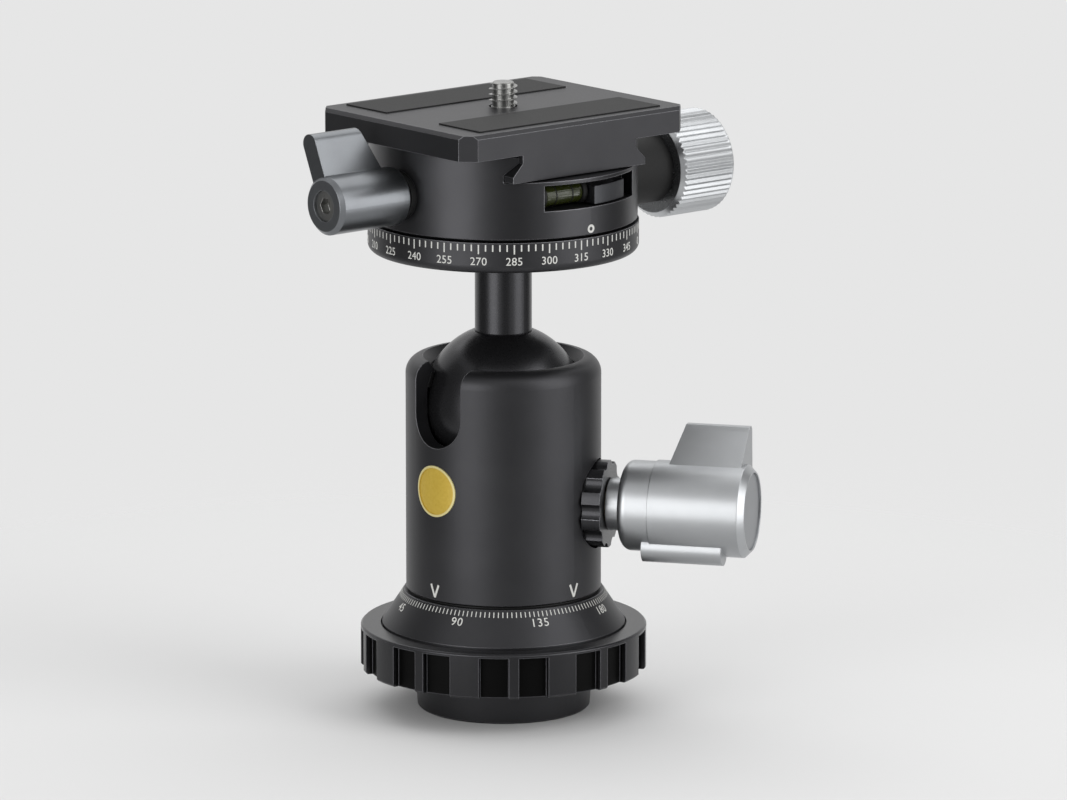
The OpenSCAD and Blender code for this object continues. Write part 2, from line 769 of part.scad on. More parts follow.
// Graduated dial, a cup that the clamp turns in
module dial() color(anodised) rotate_extrude() difference() {
    union() {
        translate([stem_tenon_r + seat_gap, dial_z])
            square([dial_r - dial_round - stem_tenon_r - seat_gap, dial_h]);
        translate([dial_r - 2 * dial_round, dial_z + dial_round])
            square([2 * dial_round, dial_h - dial_round]);
        translate([dial_r - dial_round, dial_z + dial_round]) circle(r = dial_round);
    }
    translate([0, dial_floor_z]) square([dial_r - dial_wall, dial_h]);
}

// Sliding washer between dial and clamp
module pan_thrust_washer() color(nylon)
    tube(pan_washer_in_r, clamp_spigot_r - soft_edge, dial_floor_z, dial_floor_z + washer_t);

// Shoulder screw that holds the clamp on the stem
module pan_screw() color(steel) difference() {
    turned([
        [0, dial_floor_z - pan_thread_len + edge], [pan_thread_r, dial_floor_z - pan_thread_len + edge],
        [pan_thread_r, dial_floor_z], [pan_shoulder_r, dial_floor_z], [pan_shoulder_r, pan_head_z],
        [pan_head_r, pan_head_z], [pan_head_r, pan_head_z + pan_head_h], [0, pan_head_z + pan_head_h]
    ]);
    translate([0, 0, pan_head_z + edge]) cylinder(r = hex_key_r, h = pan_head_h, $fn = 6);
}

// Spring washer under the shoulder screw's head
module pan_wave_washer() color(steel)
    tube(pan_shoulder_r + run_gap, pan_head_r, pan_head_z - wave_t + run_gap, pan_head_z);

// Section of the space above the clamp's base, beside the fixed jaw
function channel_section() = [
    [-dove_neck_half, jaw_top_z + 1], [-dove_neck_half, dove_flank_z + flank], [-dove_half, dove_flank_z],
    [-dove_half, channel_z], [clamp_r + 1, channel_z], [clamp_r + 1, jaw_top_z + 1]
];

// Section of the moving jaw above the clamp's base
function jaw_section() = [
    [dove_neck_half, jaw_top_z], [dove_neck_half, dove_flank_z + flank], [dove_half, dove_flank_z],
    [dove_half, channel_z + slide_gap], [clamp_r + 1, channel_z + slide_gap], [clamp_r + 1, jaw_top_z]
];

// Stepped bar along the channel, grown by a gap on every side
module nut_bar_blank(gap) {
    translate([-bar_half_l - gap, bar_in - gap, bar_low - gap])
        cube([2 * (bar_half_l + gap), bar_out - bar_in + 2 * gap, bar_top - bar_low + 2 * gap]);
    translate([0, bar_in - gap, tongue_low - gap])
        cube([clamp_r + 1, tongue_out - bar_in + 2 * gap, bar_top - tongue_low + 2 * gap]);
}

// Clamp body with the fixed jaw, the channel and its inner pockets
module clamp_body() color(anodised) in_clamp() difference() {
    turned([
        [pan_shoulder_r + run_gap, clamp_spigot_z], [clamp_spigot_r, clamp_spigot_z],
        [clamp_spigot_r, clamp_z], [clamp_r - edge, clamp_z], [clamp_r, clamp_z + edge],
        [clamp_r, jaw_top_z - edge], [clamp_r - edge, jaw_top_z], [pan_shoulder_r + run_gap, jaw_top_z]
    ]);
    along_channel(channel_section(), 3 * clamp_r);
    translate([0, 0, clamp_z]) cylinder(r = pan_pocket_r, h = clamp_base_h + 1);
    translate([-leg_w / 2 - slide_gap, slot_at, channel_z - leg_h - slide_gap])
        cube([leg_w + 2 * slide_gap, clamp_r, leg_h + 1]);
    nut_bar_blank(seat_gap);
    translate([window_back, window_k0, window_low])
        cube([clamp_r, window_k1 - window_k0, window_h]);
    translate([0, screw_tip_at - clear_gap, screw_z]) rotate([-90, 0, 0])
        cylinder(r = clamp_screw_r + clear_gap, h = clamp_r);
    translate([0, 0, lever_z]) rotate([90, 0, 0]) {
        translate([0, 0, lever_tip_at - clear_gap]) cylinder(r = lever_shaft_r + run_gap, h = clamp_r);
        translate([0, 0, lever_bush_at]) cylinder(r = lever_bush_r + seat_gap, h = clamp_r);
    }
    translate([0, -pan_pin_at, clamp_spigot_z - 1])
        cylinder(r = pan_pin_r + seat_gap, h = lever_z - clamp_spigot_z + 1);
}

// Bar that the clamp screw is threaded into, with the tongue that shows in the level's window
module clamp_nut_bar() color(steel) in_clamp() difference() {
    intersection() {
        union() {
            nut_bar_blank(0);
            translate([window_back + clear_gap, tongue_in, tongue_low])
                cube([clamp_r, tongue_out - tongue_in, bar_top - tongue_low]);
        }
        translate([0, 0, clamp_z]) cylinder(r = tongue_end_r, h = clamp_base_h);
    }
    translate([0, 0, screw_z]) rotate([-90, 0, 0]) cylinder(r = clamp_screw_r + run_gap, h = clamp_r);
}

// Tube of the level, lying across the channel in its window
module level_vial() color("#b9c22a") in_clamp() translate([vial_s, vial_mid - vial_len / 2, vial_z])
    rotate([-90, 0, 0]) cylinder(r = vial_r, h = vial_len);

// End caps that hold the level in its window
module level_caps() color(anodised) in_clamp() for (side = [-1, 1])
    translate([vial_s, vial_mid + side * (vial_len + vial_cap_t) / 2, vial_z]) rotate([90, 0, 0])
        cylinder(r = vial_r + clear_gap, h = vial_cap_t, center = true);

// Pin that the pan lever presses onto the dial
module pan_brake_pin() color(brass) in_clamp() translate([0, -pan_pin_at, clamp_spigot_z])
    cylinder(r = pan_pin_r, h = pan_pin_top - clamp_spigot_z);

// Dark bush that the pan lever turns in
module pan_lever_bush() color(rubber) radial(lever_angle, lever_z)
    tube(lever_shaft_r + run_gap, lever_bush_r, lever_bush_at, lever_bush_end);

// Pan lever: barrel with a leaning wing
module pan_lever() color(satin_silver) radial(lever_angle, lever_z) difference() {
    union() {
        turned([
            [0, lever_start], [lever_r - soft_edge, lever_start], [lever_r, lever_start + soft_edge],
            [lever_r, lever_end - lever_bevel], [lever_r - lever_bevel, lever_end], [0, lever_end]
        ]);
        wing(lever_r, lever_wing_rise, lever_wing_at, lever_wing_slant, lever_wing_end)
            lever_wing_section();
    }
    translate([0, 0, lever_start - 1])
        cylinder(r = lever_shaft_r + seat_gap, h = lever_shaft_end - lever_start + 1);
    translate([0, 0, lever_start]) cylinder(r = screw_r + seat_gap, h = lever_len);
    translate([0, 0, lever_end - lever_recess])
        cylinder(r = lever_screw_head_r + seat_gap, h = lever_recess + 1);
}

// Shaft of the pan lever, with the taper that drives the brake pin
module pan_lever_shaft() color(steel) radial(lever_angle, lever_z) difference() {
    turned([
        [0, lever_tip_at], [lever_tip_r, lever_tip_at], [lever_shaft_r, lever_tip_at + lever_taper],
        [lever_shaft_r, lever_shaft_end], [0, lever_shaft_end]
    ]);
    translate([0, 0, lever_shaft_end - screw_bite]) cylinder(r = screw_r + seat_gap, h = screw_bite + 1);
}

// Socket screw in the pan lever's end
module pan_lever_screw() color(rubber) radial(lever_angle, lever_z) difference() {
    union() {
        translate([0, 0, lever_end - lever_recess]) cylinder(r = lever_screw_head_r, h = lever_screw_head_h);
        translate([0, 0, lever_shaft_end - screw_bite + edge])
            cylinder(r = screw_r, h = lever_end - lever_recess - lever_shaft_end + screw_bite);
    }
    translate([0, 0, lever_end - lever_recess + edge])
        cylinder(r = screw_r + edge, h = lever_screw_head_h, $fn = 6);
}

// Jaw that the clamp knob draws against the plate
module moving_jaw() color(anodised) in_clamp() difference() {
    intersection() {
        union() {
            along_channel(jaw_section(), 3 * clamp_r);
            translate([-leg_w / 2, leg_at, channel_z - leg_h]) cube([leg_w, clamp_r, leg_h + 1]);
        }
        turned([
            [0, clamp_z], [clamp_r, clamp_z], [clamp_r, jaw_top_z - edge],
            [clamp_r - edge, jaw_top_z], [0, jaw_top_z]
        ]);
    }
    translate([0, 0, screw_z]) rotate([-90, 0, 0]) cylinder(r = clamp_screw_r + run_gap, h = 2 * clamp_r);
}

// Outline of the clamp knob, alternating between crest and root of the knurls
function knurl_outline() = [for (i = [0 : 2 * knurl_count - 1]) let (turn = 180 * i / knurl_count)
    (clamp_knob_r - knurl_depth * (i % 2)) * [cos(turn), sin(turn)]];

// Clamp knob with straight knurls and bevelled ends
module clamp_knob() color(satin_silver) radial(knob_angle, screw_z) difference() {
    intersection() {
        linear_extrude(clamp_knob_end) polygon(knurl_outline());
        turned([
            [0, clamp_knob_at], [clamp_knob_r - clamp_knob_bevel, clamp_knob_at],
            [clamp_knob_r + eps, clamp_knob_at + clamp_knob_bevel],
            [clamp_knob_r + eps, clamp_knob_end - clamp_knob_bevel],
            [clamp_knob_r - clamp_knob_bevel, clamp_knob_end], [0, clamp_knob_end]
        ]);
    }
    translate([0, 0, clamp_knob_at - 1])
        cylinder(r = clamp_screw_r + seat_gap, h = screw_end - clamp_knob_at + 1);
}

// Dark collar between the moving jaw and the clamp knob
module clamp_knob_collar() color(rubber) radial(knob_angle, screw_z) turned([
    [clamp_screw_r + seat_gap, collar_at], [collar_boss_r, collar_at], [collar_boss_r, collar_face_at],
    [collar_r - soft_edge, collar_face_at], [collar_r, collar_face_at + soft_edge],
    [collar_r, clamp_knob_at], [clamp_screw_r + seat_gap, clamp_knob_at]
]);

// Screw that draws the jaw in
module clamp_screw() color(steel) radial(knob_angle, screw_z) turned([
    [0, screw_tip_at], [clamp_screw_r - edge, screw_tip_at], [clamp_screw_r, screw_tip_at + edge],
    [clamp_screw_r, screw_end], [0, screw_end]
]);

// Plan of the plate with its corners cut
function plate_plan() = let (s = plate_l / 2, k = plate_w / 2, c = corner_cut) [
    [s - c, k], [c - s, k], [-s, k - c], [-s, c - k], [c - s, -k], [s - c, -k], [s, c - k], [s, k - c]
];

// Upright section of the plate with bevelled top edges
function plate_section(width) = [
    [-width / 2, plate_z], [width / 2, plate_z], [width / 2, plate_top_z - plate_bevel],
    [width / 2 - plate_bevel, plate_top_z], [plate_bevel - width / 2, plate_top_z],
    [-width / 2, plate_top_z - plate_bevel]
];

// Rubber pad outline on the plate's top
module pad_places() for (side = [-1, 1]) translate([side * pad_at, 0, 0]) children();

// Quick-release plate with its dovetail
module plate() color(anodised) in_clamp() difference() {
    union() {
        intersection() {
            translate([0, 0, plate_z]) linear_extrude(plate_t) polygon(plate_plan());
            along_channel(plate_section(plate_w), 2 * plate_l);
            rotate([0, 0, 90]) along_channel(plate_section(plate_l), 2 * plate_w);
        }
        along_channel([
            [dovetail_w / 2, dove_z], [dovetail_w / 2, dove_z + dovetail_foot],
            [dovetail_w / 2 - flank, dove_z + dovetail_foot + flank], [dovetail_w / 2 - flank, plate_z + 1],
            [flank - dovetail_w / 2, plate_z + 1], [flank - dovetail_w / 2, dove_z + dovetail_foot + flank],
            [-dovetail_w / 2, dove_z + dovetail_foot], [-dovetail_w / 2, dove_z]
        ], plate_l);
    }
    translate([0, 0, dove_z - 1]) cylinder(r = camera_well_r, h = camera_well_z - dove_z + 1);
    translate([0, 0, dove_z]) cylinder(r = camera_thread_r + run_gap, h = plate_top_z);
    pad_places() translate([-pad_w / 2, -pad_l / 2, pad_z]) cube([pad_w, pad_l, pad_t]);
}

// Rubber pads let into the plate's top
module plate_pads() color(rubber) in_clamp() pad_places()
    translate([seat_gap - pad_w / 2, seat_gap - pad_l / 2, pad_z])
        cube([pad_w - 2 * seat_gap, pad_l - 2 * seat_gap, pad_t]);

// Camera screw with a coin slot in its head
module camera_screw() color(steel) in_clamp() difference() {
    turned([
        [0, camera_head_z], [camera_head_r - edge, camera_head_z], [camera_head_r, camera_head_z + edge],
        [camera_head_r, camera_head_top], [camera_neck_r, camera_head_top],
        [camera_neck_r, plate_top_z], [camera_thread_r, plate_top_z],
        [camera_thread_r, plate_top_z + camera_thread_len - edge],
        [camera_thread_r - edge, plate_top_z + camera_thread_len], [0, plate_top_z + camera_thread_len]
    ]);
    translate([0, 0, camera_head_z]) cube([3 * camera_head_r, coin_slot_w, 2 * coin_slot_h], center = true);
}

// Clip that keeps the camera screw in the plate
module screw_clip() color(steel)
    tube(camera_neck_r + seat_gap, clip_r, camera_head_top, camera_head_top + clip_t);

base_foot();
thread_bush();
base_screws();
scale_cone();
pan_brake_pins();
pan_washer();
pan_retainer();
retainer_screws();
pan_lock_ring();
housing_barrel();
housing_floor();
upper_race();
disc_springs();
lock_bush();
badge();
pressure_cup();
lock_knob();
lock_shaft();
knob_cap();
friction_ring();
ball_liner();
ball();
stem();
dial();
pan_thrust_washer();
pan_screw();
pan_wave_washer();
clamp_body();
clamp_nut_bar();
level_vial();
level_caps();
pan_brake_pin();
pan_lever_bush();
pan_lever();
pan_lever_shaft();
pan_lever_screw();
moving_jaw();
clamp_knob();
clamp_knob_collar();
clamp_screw();
plate();
plate_pads();
camera_screw();
screw_clip();
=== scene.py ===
import json
import math

import bpy
from mathutils import Matrix, Vector


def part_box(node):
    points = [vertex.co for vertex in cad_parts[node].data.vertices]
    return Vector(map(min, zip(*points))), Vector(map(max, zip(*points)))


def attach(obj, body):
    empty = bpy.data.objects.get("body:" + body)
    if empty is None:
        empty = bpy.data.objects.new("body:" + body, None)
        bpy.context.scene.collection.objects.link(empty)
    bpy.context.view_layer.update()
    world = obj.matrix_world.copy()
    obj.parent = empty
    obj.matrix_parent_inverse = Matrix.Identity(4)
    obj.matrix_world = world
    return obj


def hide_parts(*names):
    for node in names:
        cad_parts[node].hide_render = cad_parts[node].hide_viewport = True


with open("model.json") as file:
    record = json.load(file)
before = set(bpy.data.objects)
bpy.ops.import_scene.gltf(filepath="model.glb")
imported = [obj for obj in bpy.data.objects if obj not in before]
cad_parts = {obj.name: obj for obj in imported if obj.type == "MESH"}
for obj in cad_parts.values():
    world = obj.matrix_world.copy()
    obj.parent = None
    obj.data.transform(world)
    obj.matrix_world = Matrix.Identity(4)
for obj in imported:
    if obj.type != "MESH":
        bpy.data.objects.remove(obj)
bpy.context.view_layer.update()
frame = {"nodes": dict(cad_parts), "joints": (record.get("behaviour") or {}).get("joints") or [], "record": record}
mm = 0.001
inch = 25.4 * mm
nodes = frame["nodes"]
joints = {joint["name"]: joint for joint in frame["joints"]}
channelAxis = Vector(joints["plate_slide"]["axis"])  # along the dovetail
knobAxis = Vector(joints["clamp_knob_turn"]["axis"])  # across it, out through the clamp knob
lockAxis = -Vector(joints["lock_knob_turn"]["axis"])  # out through the main lock knob
clampTurn = math.atan2(channelAxis.y, channelAxis.x)
knobTurn = clampTurn + math.pi / 2
lockTurn = math.atan2(lockAxis.y, lockAxis.x)
print("frame loaded:", len(nodes), "nodes")


# Small helpers

def linearFromHex(code):  # sRGB hex to the linear colour that shaders take
    parts = [int(code[i:i + 2], 16) / 255 for i in (1, 3, 5)]
    return [c / 12.92 if c <= 0.04045 else ((c + 0.055) / 1.055) ** 2.4 for c in parts] + [1]


def addNode(tree, kind, settings=None, values=None, links=None):  # one node with its settings and wires
    node = tree.nodes.new(kind)
    for name, value in (settings or {}).items():
        setattr(node, name, value)
    for socket, value in (values or {}).items():
        node.inputs[socket].default_value = value
    for socket, source in (links or {}).items():
        tree.links.new(source, node.inputs[socket])
    return node


def startMaterial(name, values):  # material with a Principled shader, its fixed inputs set on the shader
    material = bpy.data.materials.new(name)
    material.use_nodes = True
    tree = material.node_tree
    shader = tree.nodes["Principled BSDF"]
    for socket, value in values.items():
        shader.inputs[socket].default_value = value
    return material, tree, shader


def wireShader(tree, shader, sources):  # what the nodes of a material hand to its shader
    for socket, source in sources.items():
        tree.links.new(source, shader.inputs[socket])


def selectOnly(*pieces):
    bpy.ops.object.select_all(action="DESELECT")
    for piece in pieces:
        piece.select_set(True)
    bpy.context.view_layer.objects.active = pieces[0]


def onWall(radius, angle, height, lean=0):  # x runs round the pan axis, y up the wall, z out of it
    across = Vector((-math.sin(angle), math.cos(angle), 0))
    out = Vector((math.cos(angle) * math.cos(lean), math.sin(angle) * math.cos(lean), math.sin(lean)))
    up = out.cross(across)
    place = Matrix((across, up, out)).transposed().to_4x4()
    place.translation = (radius * math.cos(angle), radius * math.sin(angle), height)
    return place


def copyTo(model, place):  # a copy with its own mesh, put in place by its mesh
    piece = model.copy()
    piece.data = model.data.copy()
    bpy.context.scene.collection.objects.link(piece)
    piece.data.transform(place)
    return piece


def joinAs(name, pieces):
    selectOnly(*pieces)
    bpy.ops.object.join()
    pieces[0].name = name
    pieces[0].data.name = name
    return pieces[0]


def settle(piece, body, material, stands=()):  # finish, body and slot of a new piece
    piece.data.materials.clear()
    piece.data.materials.append(material)
    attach(piece, body)
    if stands:
        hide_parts(*stands)
    print("made", piece.name, "on", body)


# Materials

edgeRounding = {"samples": 6, "flat": 0.995, "sharp": 0.88}  # flat and sharp: how alike both normals are there


def wornEdges(tree, rounded):  # 0 on open faces, 1 along the edges that the rounded normal turns
    plain = addNode(tree, "ShaderNodeNewGeometry")
    alike = addNode(tree, "ShaderNodeVectorMath", {"operation": "DOT_PRODUCT"},
                    links={0: rounded.outputs[0], 1: plain.outputs["Normal"]})
    edge = addNode(tree, "ShaderNodeMapRange", {"interpolation_type": "SMOOTHSTEP"},
                   {"From Min": edgeRounding["flat"], "From Max": edgeRounding["sharp"]},
                   {"Value": alike.outputs["Value"]})
    return edge.outputs["Result"]


# The grit is drawn coarser than real blasting, so that it shows
blastFinish = {"grit": 0.22 * mm, "patch": 9 * mm, "edge": 0.25 * mm, "dark": "#363638", "pale": "#3e3e40",
               "wornEdgeAndHighlight": "#8c8c90", "bump": 0.04, "smoother": 0.04, "rougher": 0.05}


def blackAnodised(name, finish, roughness):
    # Black anodised aluminium, bead blasted: an even charcoal skin, satin, with paler edges that are partly wear
    # and partly a painted highlight where the edges catch the light
    material, tree, shader = startMaterial(name, {"Metallic": 0.85, "Specular IOR Level": 0.35})
    place = addNode(tree, "ShaderNodeTexCoord").outputs["Object"]
    rounded = addNode(tree, "ShaderNodeBevel", {"samples": edgeRounding["samples"]}, {"Radius": finish["edge"]})
    cloud = addNode(tree, "ShaderNodeTexNoise", values={"Scale": 1 / finish["patch"], "Detail": 3},
                    links={"Vector": place})
    grit = addNode(tree, "ShaderNodeTexNoise", values={"Scale": 1 / finish["grit"], "Detail": 2},
                   links={"Vector": place})
    skin = addNode(tree, "ShaderNodeMix", {"data_type": "RGBA"},
                   {"A": linearFromHex(finish["dark"]), "B": linearFromHex(finish["pale"])},
                   {"Factor": cloud.outputs["Fac"]})
    # painted highlight: the edges are lightened, partly as wear and partly for the light that rounded edges catch
    tone = addNode(tree, "ShaderNodeMix", {"data_type": "RGBA"}, {"B": linearFromHex(finish["wornEdgeAndHighlight"])},
                   {"Factor": wornEdges(tree, rounded), "A": skin.outputs["Result"]})
    sheen = addNode(tree, "ShaderNodeMapRange", links={"Value": grit.outputs["Fac"]},
                    values={"To Min": roughness - finish["smoother"],
                            "To Max": roughness + finish["rougher"]})
    relief = addNode(tree, "ShaderNodeBump",
                     values={"Strength": finish["bump"], "Distance": finish["grit"]},
                     links={"Height": grit.outputs["Fac"], "Normal": rounded.outputs[0]})
    wireShader(tree, shader, {"Base Color": tone.outputs["Result"], "Roughness": sheen.outputs["Result"],
                              "Normal": relief.outputs["Normal"]})
    return material


# The feed is drawn coarser than real turning, so that it shows
turnFinish = {"feed": 0.16 * mm, "ridge": 0.04 * mm, "waver": 0.6, "blotch": 6 * mm, "edge": 0.25 * mm,
              "bump": 0.025, "smoother": 0.05, "rougher": 0.06}
wavePeriod = 0.314  # of the wave texture at scale 1


def turnedMetal(name, colour, paler, roughness, axisTurn, finish):
    # Metal turned on a lathe: fine rings across the axis that stretch the light along it
    material, tree, shader = startMaterial(name, {"Metallic": 1.0})
    place = addNode(tree, "ShaderNodeTexCoord").outputs["Object"]
    along = addNode(tree, "ShaderNodeMapping", values={"Rotation": (0, 0, -axisTurn)},
                    links={"Vector": place})
    rounded = addNode(tree, "ShaderNodeBevel", {"samples": edgeRounding["samples"]}, {"Radius": finish["edge"]})
    rings = addNode(tree, "ShaderNodeTexWave", {"bands_direction": "X"},
                    {"Scale": wavePeriod / finish["feed"], "Distortion": finish["waver"], "Detail": 2},
                    {"Vector": along.outputs[0]})
    blotch = addNode(tree, "ShaderNodeTexNoise", values={"Scale": 1 / finish["blotch"], "Detail": 4},
                     links={"Vector": place})
    tone = addNode(tree, "ShaderNodeMix", {"data_type": "RGBA"},
                   {"A": linearFromHex(colour), "B": linearFromHex(paler)},
                   {"Factor": blotch.outputs["Fac"]})
    sheen = addNode(tree, "ShaderNodeMapRange", links={"Value": rings.outputs["Fac"]},
                    values={"To Min": roughness - finish["smoother"],
                            "To Max": roughness + finish["rougher"]})
    relief = addNode(tree, "ShaderNodeBump",
                     values={"Strength": finish["bump"], "Distance": finish["ridge"]},
                     links={"Height": rings.outputs["Fac"], "Normal": rounded.outputs[0]})
    wireShader(tree, shader, {"Base Color": tone.outputs["Result"], "Roughness": sheen.outputs["Result"],
                              "Normal": relief.outputs["Normal"]})
    return material


grainFinish = {"grain": 0.4 * mm, "depth": 0.133 * mm, "edge": 0.3 * mm, "duller": 0.05, "shinier": 0.12}


def mouldedGrain(name, dark, pale, roughness, bump, finish):
    # Moulded polymer with a fine spark-eroded grain: matt, with a soft grey sheen on round edges
    material, tree, shader = startMaterial(name, {"IOR": 1.5, "Specular IOR Level": 0.3})
    place = addNode(tree, "ShaderNodeTexCoord").outputs["Object"]
    rounded = addNode(tree, "ShaderNodeBevel", {"samples": edgeRounding["samples"]}, {"Radius": finish["edge"]})
    grain = addNode(tree, "ShaderNodeTexNoise", values={"Scale": 1 / finish["grain"], "Detail": 3},
                    links={"Vector": place})
    tone = addNode(tree, "ShaderNodeMix", {"data_type": "RGBA"},
                   {"A": linearFromHex(dark), "B": linearFromHex(pale)}, {"Factor": grain.outputs["Fac"]})
    sheen = addNode(tree, "ShaderNodeMapRange", links={"Value": wornEdges(tree, rounded)},
                    values={"To Min": roughness + finish["duller"],
                            "To Max": roughness - finish["shinier"]})
    relief = addNode(tree, "ShaderNodeBump", values={"Strength": bump, "Distance": finish["depth"]},
                     links={"Height": grain.outputs["Fac"], "Normal": rounded.outputs[0]})
    wireShader(tree, shader, {"Base Color": tone.outputs["Result"], "Roughness": sheen.outputs["Result"],
                              "Normal": relief.outputs["Normal"]})
    return material


gripFinish = {"grain": 0.35 * mm, "depth": 0.117 * mm, "edge": 0.35 * mm, "hollowFrom": 1.3 * mm,
              "landFrom": 0.5 * mm, "shadedHollow": "#080808", "land": "#262628", "rubAndHighlight": "#66666a", "dull": 0.5,
              "shiny": 0.25, "hollowGloss": 0.1, "landGloss": 0.35, "bump": 0.1}


def lockRingGrip(finish):
    # Black lock ring: dull hollows painted near-black as painted shade, between lands that fingers have rubbed to
    # a sheen and that are painted lighter, partly as painted light
    material, tree, shader = startMaterial("blackGripShadedHollows", {"Metallic": 0.5})
    place = addNode(tree, "ShaderNodeTexCoord").outputs["Object"]
    rounded = addNode(tree, "ShaderNodeBevel", {"samples": edgeRounding["samples"]}, {"Radius": finish["edge"]})
    flat = addNode(tree, "ShaderNodeVectorMath", {"operation": "MULTIPLY"}, {1: (1, 1, 0)}, {0: place})
    reach = addNode(tree, "ShaderNodeVectorMath", {"operation": "LENGTH"}, links={0: flat.outputs[0]})
    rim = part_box("pan_lock_ring")[1].x
    land = addNode(tree, "ShaderNodeMapRange", {"interpolation_type": "SMOOTHSTEP"},
                   {"From Min": rim - finish["hollowFrom"], "From Max": rim - finish["landFrom"]},
                   {"Value": reach.outputs["Value"]})
    plain = addNode(tree, "ShaderNodeNewGeometry").outputs["Normal"]
    facing = addNode(tree, "ShaderNodeSeparateXYZ", links={0: plain})
    rubbedAndLit = addNode(tree, "ShaderNodeMath", {"operation": "MAXIMUM"},  # upward faces are painted lighter too, a painted highlight from above
                     links={0: land.outputs["Result"], 1: facing.outputs["Z"]}).outputs[0]
    # painted shade and light: hollows near-black, lands and upward faces lighter, edges lighter as part wear and
    # part painted highlight
    skin = addNode(tree, "ShaderNodeMix", {"data_type": "RGBA"},
                   {"A": linearFromHex(finish["shadedHollow"]), "B": linearFromHex(finish["land"])},
                   {"Factor": rubbedAndLit})
    tone = addNode(tree, "ShaderNodeMix", {"data_type": "RGBA"}, {"B": linearFromHex(finish["rubAndHighlight"])},
                   {"Factor": wornEdges(tree, rounded), "A": skin.outputs["Result"]})
    grain = addNode(tree, "ShaderNodeTexNoise", values={"Scale": 1 / finish["grain"], "Detail": 3},
                    links={"Vector": place})
    sheen = addNode(tree, "ShaderNodeMapRange", links={"Value": rubbedAndLit},
                    values={"To Min": finish["dull"], "To Max": finish["shiny"]})
    gloss = addNode(tree, "ShaderNodeMapRange", links={"Value": rubbedAndLit},
                    values={"To Min": finish["hollowGloss"], "To Max": finish["landGloss"]})
    relief = addNode(tree, "ShaderNodeBump",
                     values={"Strength": finish["bump"], "Distance": finish["depth"]},
                     links={"Height": grain.outputs["Fac"], "Normal": rounded.outputs[0]})
    wireShader(tree, shader, {"Base Color": tone.outputs["Result"], "Roughness": sheen.outputs["Result"],
                              "Specular IOR Level": gloss.outputs["Result"],
                              "Normal": relief.outputs["Normal"]})
    return material


enamelFinish = {"speck": 0.6 * mm, "rimWidth": 0.6 * mm, "deep": "#b8982c", "light": "#caae46",
                "rim": "#d3c88f", "shiny": 0.32, "dull": 0.44}


def badgeEnamel(finish):
    # Satin yellow enamel on a pressed disc: a muted gold, slightly uneven, with a paler raised rim
    material, tree, shader = startMaterial("satinYellowEnamel", {"Metallic": 0.25, "Coat Weight": 0.3})
    place = addNode(tree, "ShaderNodeTexCoord").outputs["Object"]
    low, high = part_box("badge")
    middle, radius = (low + high) / 2, (high.z - low.z) / 2
    offset = addNode(tree, "ShaderNodeVectorMath", {"operation": "SUBTRACT"}, {1: middle}, {0: place})
    flat = addNode(tree, "ShaderNodeVectorMath", {"operation": "MULTIPLY"}, {1: (1, 0, 1)},
                   {0: offset.outputs[0]})
    reach = addNode(tree, "ShaderNodeVectorMath", {"operation": "LENGTH"}, links={0: flat.outputs[0]})
    rim = addNode(tree, "ShaderNodeMapRange", {"interpolation_type": "SMOOTHSTEP"},
                  {"From Min": radius - finish["rimWidth"], "From Max": radius - finish["rimWidth"] / 2},
                  {"Value": reach.outputs["Value"]})
    speck = addNode(tree, "ShaderNodeTexNoise", values={"Scale": 1 / finish["speck"], "Detail": 4},
                    links={"Vector": place})
    face = addNode(tree, "ShaderNodeMix", {"data_type": "RGBA"},
                   {"A": linearFromHex(finish["deep"]), "B": linearFromHex(finish["light"])},
                   {"Factor": speck.outputs["Fac"]})
    tone = addNode(tree, "ShaderNodeMix", {"data_type": "RGBA"}, {"B": linearFromHex(finish["rim"])},
                   {"Factor": rim.outputs["Result"], "A": face.outputs["Result"]})
    sheen = addNode(tree, "ShaderNodeMapRange", links={"Value": speck.outputs["Fac"]},
                    values={"To Min": finish["shiny"], "To Max": finish["dull"]})
    wireShader(tree, shader, {"Base Color": tone.outputs["Result"], "Roughness": sheen.outputs["Result"]})
    return material


paintFinish = {"speck": 0.15 * mm, "full": "#e2e2de", "thin": "#b6b6b2"}


def scalePaint(finish):
    # White paint wiped into engraved marks: bright and matt, a little thin in places
    material, tree, shader = startMaterial("wipedWhitePaint", {"IOR": 1.5, "Roughness": 0.6})
    place = addNode(tree, "ShaderNodeTexCoord").outputs["Object"]
    speck = addNode(tree, "ShaderNodeTexNoise", values={"Scale": 1 / finish["speck"], "Detail": 2},
                    links={"Vector": place})
    tone = addNode(tree, "ShaderNodeMix", {"data_type": "RGBA"},
                   {"A": linearFromHex(finish["full"]), "B": linearFromHex(finish["thin"])},
                   {"Factor": speck.outputs["Fac"]})
    wireShader(tree, shader, {"Base Color": tone.outputs["Result"]})
    return material


shadedLevelFinish = {"drift": 3 * mm, "deep": "#23280b", "light": "#323812"}


def levelLiquid(finish):
    # Dyed liquid in a clear tube: a dark olive with soft highlights, its colour darkened as painted shade because
    # its well is black
    clear = {"IOR": 1.4, "Roughness": 0.1, "Specular IOR Level": 0.3, "Transmission Weight": 0.2}
    material, tree, shader = startMaterial("dyedLevelLiquidInShade", clear)
    place = addNode(tree, "ShaderNodeTexCoord").outputs["Object"]
    drift = addNode(tree, "ShaderNodeTexNoise", values={"Scale": 1 / finish["drift"]},
                    links={"Vector": place})
    tone = addNode(tree, "ShaderNodeMix", {"data_type": "RGBA"},
                   {"A": linearFromHex(finish["deep"]), "B": linearFromHex(finish["light"])},
                   {"Factor": drift.outputs["Fac"]})
    wireShader(tree, shader, {"Base Color": tone.outputs["Result"]})
    return material


bubblePaintedLight = {"rim": "#2b300c", "litTop": "#a9b070"}


